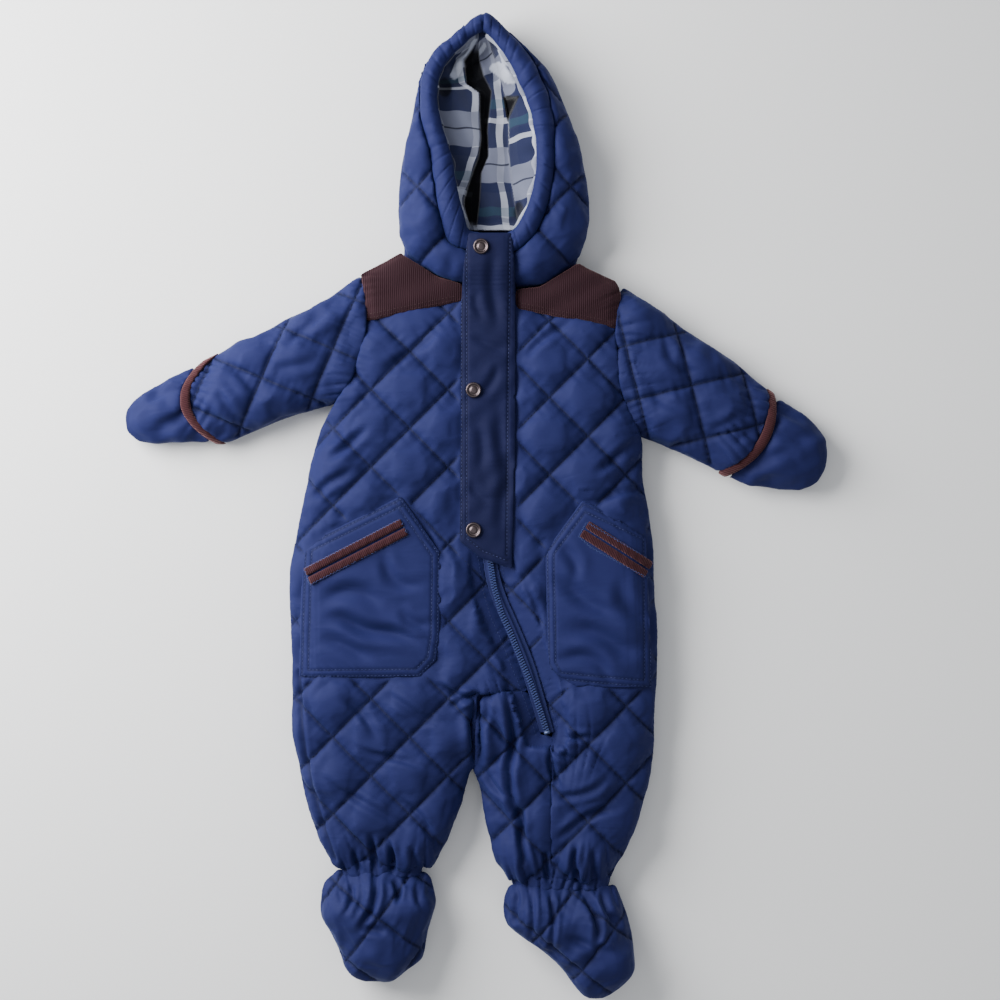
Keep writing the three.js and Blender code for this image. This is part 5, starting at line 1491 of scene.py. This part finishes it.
# pale crumples: middle, half length and half width in mm, turn in degrees, how far they stand up in mm
PALE_CRUMPLES = [
    {"x": 21.9, "y": 345.5, "long": 12.5, "wide": 4.2, "turn": -37, "up": 2.6},
    {"x": -8.8, "y": 356.5, "long": 18.0, "wide": 3.6, "turn": 52, "up": 2.0},
    {"x": 22.0, "y": 357.5, "long": 7.5, "wide": 2.8, "turn": -58, "up": 1.6},
    {"x": 4.0, "y": 365.0, "long": 5.0, "wide": 1.6, "turn": 60, "up": 1.2},
]
WHITE_LINE = 2.8
LIP = [(0.5, 36.5), (1.3, 39.0), (1.0, 41.5), (-0.4, 42.6)]


def at_height(table, y):
    table = np.array(table)
    return np.interp(y, table[:, 0], table[:, 1])


solid_lining = points_of(nodes["hood_lining"])
levels = np.unique(np.round(solid_lining[:, 1], 1))
rim_x0 = [solid_lining[np.abs(solid_lining[:, 1] - y) < 0.2][:, 0].min() for y in levels]
rim_x1 = [solid_lining[np.abs(solid_lining[:, 1] - y) < 0.2][:, 0].max() for y in levels]
lining_tree = BVHTree.FromPolygons(
    [v.co for v in nodes["hood_lining"].data.vertices],
    [p.vertices for p in nodes["hood_lining"].data.polygons],
)
lining_points, lining_flat, lining_painted_shade, lining_pale = [], [], [], []
for y in np.linspace(levels[0] + 0.2, PEAK["y"], LINING_ROWS):
    x0, x1 = np.interp(y, levels, rim_x0) + 0.1, np.interp(y, levels, rim_x1) - 0.1
    to_peak = max(0.0, (y - levels[-1]) / (PEAK["y"] - levels[-1]))
    x0, x1 = x0 + (PEAK["x0"] - x0) * to_peak, x1 + (PEAK["x1"] - x1) * to_peak
    flap, hollow, second = at_height(FLAP_EDGE, y), at_height(HOLLOW_END, y), at_height(SECOND_EDGE, y)
    flap, hollow, second = (min(max(v, x0 + 2.5), x1 - 2.5) for v in (flap, hollow, second))
    wave = float(uneven(np.array([y]), 17.0, 41)[0])
    x = np.linspace(x0, x1, LINING_COLUMNS)
    share = np.clip((x - x0) / (flap - x0), 0, 1)
    z = RIM_HEIGHT - FLAP_DROP * share**0.7 + 0.8 * np.sin(share * 7 + y / 9) * share
    past_flap = smoothstep(x, flap - 0.2, flap + 0.9)
    past_hollow = smoothstep(x, hollow - 0.6, hollow + 0.9)
    past_second = smoothstep(x, second - 1.2, second + 0.6)
    low = HOLLOW_FLOOR + 0 * x
    z = z * (1 - past_flap) + low * past_flap
    middle = MIDDLE_FLOOR + 0.9 * np.sin((x - hollow) / 4.5 + y / 21) + 0.05 * (x - hollow)
    z = z * (1 - past_hollow) + middle * past_hollow
    rising = RIM_HEIGHT - FLAP_DROP * (1 - np.clip((x - second) / (x1 - second), 0, 1)) ** 1.4 + 0.5 * wave
    z = z * (1 - past_second) + rising * past_second
    hits = [lining_tree.ray_cast(Vector((v * MM, y * MM, 0.1)), Vector((0, 0, -1)))[0] for v in x]
    plain = np.array([hit.z / MM if hit else RIM_HEIGHT for hit in hits])
    kept = smoothstep(y, 221, 230) * (1 - smoothstep(y, 362, 371))
    rumpled = 0.25 + 1.3 * smoothstep(y, 322, 350)
    z = z + rumpled * (0.9 * np.sin(x / 2.6 + y / 5.1) + 0.7 * np.sin(x / 3.9 - y / 3.7))
    # painted shade in the hollows and in the opening under the top, from 0 to 1
    hollow_shade = np.zeros(len(x))
    for row in HOLLOWS:
        away = ((x - row["x"]) / row["wide"]) ** 2 + ((y - row["y"]) / row["tall"]) ** 2
        z = z - row["deep"] * np.exp(-away)
        hollow_shade = np.maximum(hollow_shade, row["dark"] * (1 - smoothstep(away, 0.6, 1.15)))
    inside = depth_inside(x, y, DARK_POCKET)
    z = z - 8.0 * smoothstep(inside, 0.0, 2.5)
    hollow_shade = np.maximum(hollow_shade, smoothstep(inside, -0.3, 0.5))
    pale = np.zeros(len(x))
    for row in PALE_CRUMPLES:
        turn = math.radians(row["turn"])
        along = (x - row["x"]) * math.cos(turn) + (y - row["y"]) * math.sin(turn)
        off = (y - row["y"]) * math.cos(turn) - (x - row["x"]) * math.sin(turn)
        bent = off + 0.9 * np.sin(along / 3.3)
        away = (along / row["long"]) ** 4 + (bent / row["wide"]) ** 4
        pale = np.maximum(pale, 1 - smoothstep(away, 0.85, 1.2))
        z = z + row["up"] * np.exp(-away)
    z = np.maximum(plain * (1 - kept) + z * kept, HOLLOW_FLOOR)
    near_rim = np.minimum(x - x0, x1 - x) < 0.6
    z = np.where(near_rim, plain, z)
    u = np.where(x < (flap + hollow) / 2, x - flap + 6.2, x - at_height(WHITE_STRIPE, y) + 2.8)
    v = np.where(x < (flap + hollow) / 2, 339.2 - y, 311.2 - y)
    u = np.where(x > second - 0.3, 50 + x - second, u)
    v = np.where(x > second - 0.3, 298 - y + 0.3 * (x - 39), v)
    v = v + 0.55 * (x - 8) * smoothstep(y, 328, 345) + 0.5 * np.sin(x / 3.1 + y / 5.0)
    u = u + 0.6 * np.sin(y / 5.3 + x / 9.0)
    # painted shade: the narrow hollow beside the flap's edge and the listed hollows are darkened in colour
    dark = np.maximum(past_flap * (1 - past_hollow), hollow_shade) * kept
    lip_left = [(x0 + inward * (1 + 0.5 * wave), up - 1.2 * (1 - kept)) for inward, up in reversed(LIP)]
    lip_right = [(x1 - inward * (2.2 + 0.8 * wave), up - 1.2 * (1 - kept)) for inward, up in LIP]
    edge_drop = 9 * (1 - float(smoothstep(np.array([y]), 221, 240)[0]))
    row = [(px, y, pz - edge_drop) for px, pz in lip_left]
    row += [(px, y, pz) for px, pz in zip(x, z)]
    row += [(px, y, pz - edge_drop) for px, pz in lip_right]
    lining_points.append(row)
    lip_u = [u[0]] * len(LIP) + list(u) + [WHITE_LINE] * len(LIP)
    lip_v = [v[0]] * len(LIP) + list(v) + [v[-1]] * len(LIP)
    lining_flat.append(list(zip(lip_u, lip_v)))
    lining_painted_shade.append([0.0] * len(LIP) + list(dark) + [0.0] * len(LIP))
    pale = pale * (1 - past_flap * (1 - past_hollow))
    lining_pale.append([0.0] * len(LIP) + list(pale) + [0.0] * len(LIP))

across = LINING_COLUMNS + 2 * len(LIP)
corners = [
    (r * across + c, r * across + c + 1, (r + 1) * across + c + 1, (r + 1) * across + c)
    for r in range(LINING_ROWS - 1)
    for c in range(across - 1)
]
lining_mesh = bpy.data.meshes.new("cloth_hood_lining")
places = [(px * MM, py * MM, pz * MM) for row in lining_points for px, py, pz in row]
lining_mesh.from_pydata(places, [], corners)
flat_map = lining_mesh.uv_layers.new(name="flat")
flat_values = np.array([uv for row in lining_flat for uv in row], np.float32) * MM
corner_points = np.empty(len(lining_mesh.loops), np.int32)
lining_mesh.loops.foreach_get("vertex_index", corner_points)
flat_map.data.foreach_set("uv", flat_values[corner_points].ravel())
for title, rows in (("deep", lining_painted_shade), ("pale", lining_pale)):
    mask = lining_mesh.attributes.new(title, "FLOAT", "POINT")
    mask.data.foreach_set("value", np.array([v for row in rows for v in row], np.float32))
lining = bpy.data.objects.new("cloth_hood_lining", lining_mesh)
bpy.context.scene.collection.objects.link(lining)
wall = lining.modifiers.new("wall", "SOLIDIFY")
wall.thickness = LINING_WALL * MM
wall.offset = -1.0
applied(lining)
co = points_of(lining)
co[:, 2] = np.maximum(co[:, 2], MIDDLE + 0.1)
put_points(lining, co)
finished(lining, "cloth_hood_lining", lining_cloth, 0)
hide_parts("hood_lining")
cloth_pieces["hood_lining"] = lining
print("lining points", len(co))

# %% Finish
low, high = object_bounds()
print("visual box", [round(v, 4) for v in (*low, *high)])
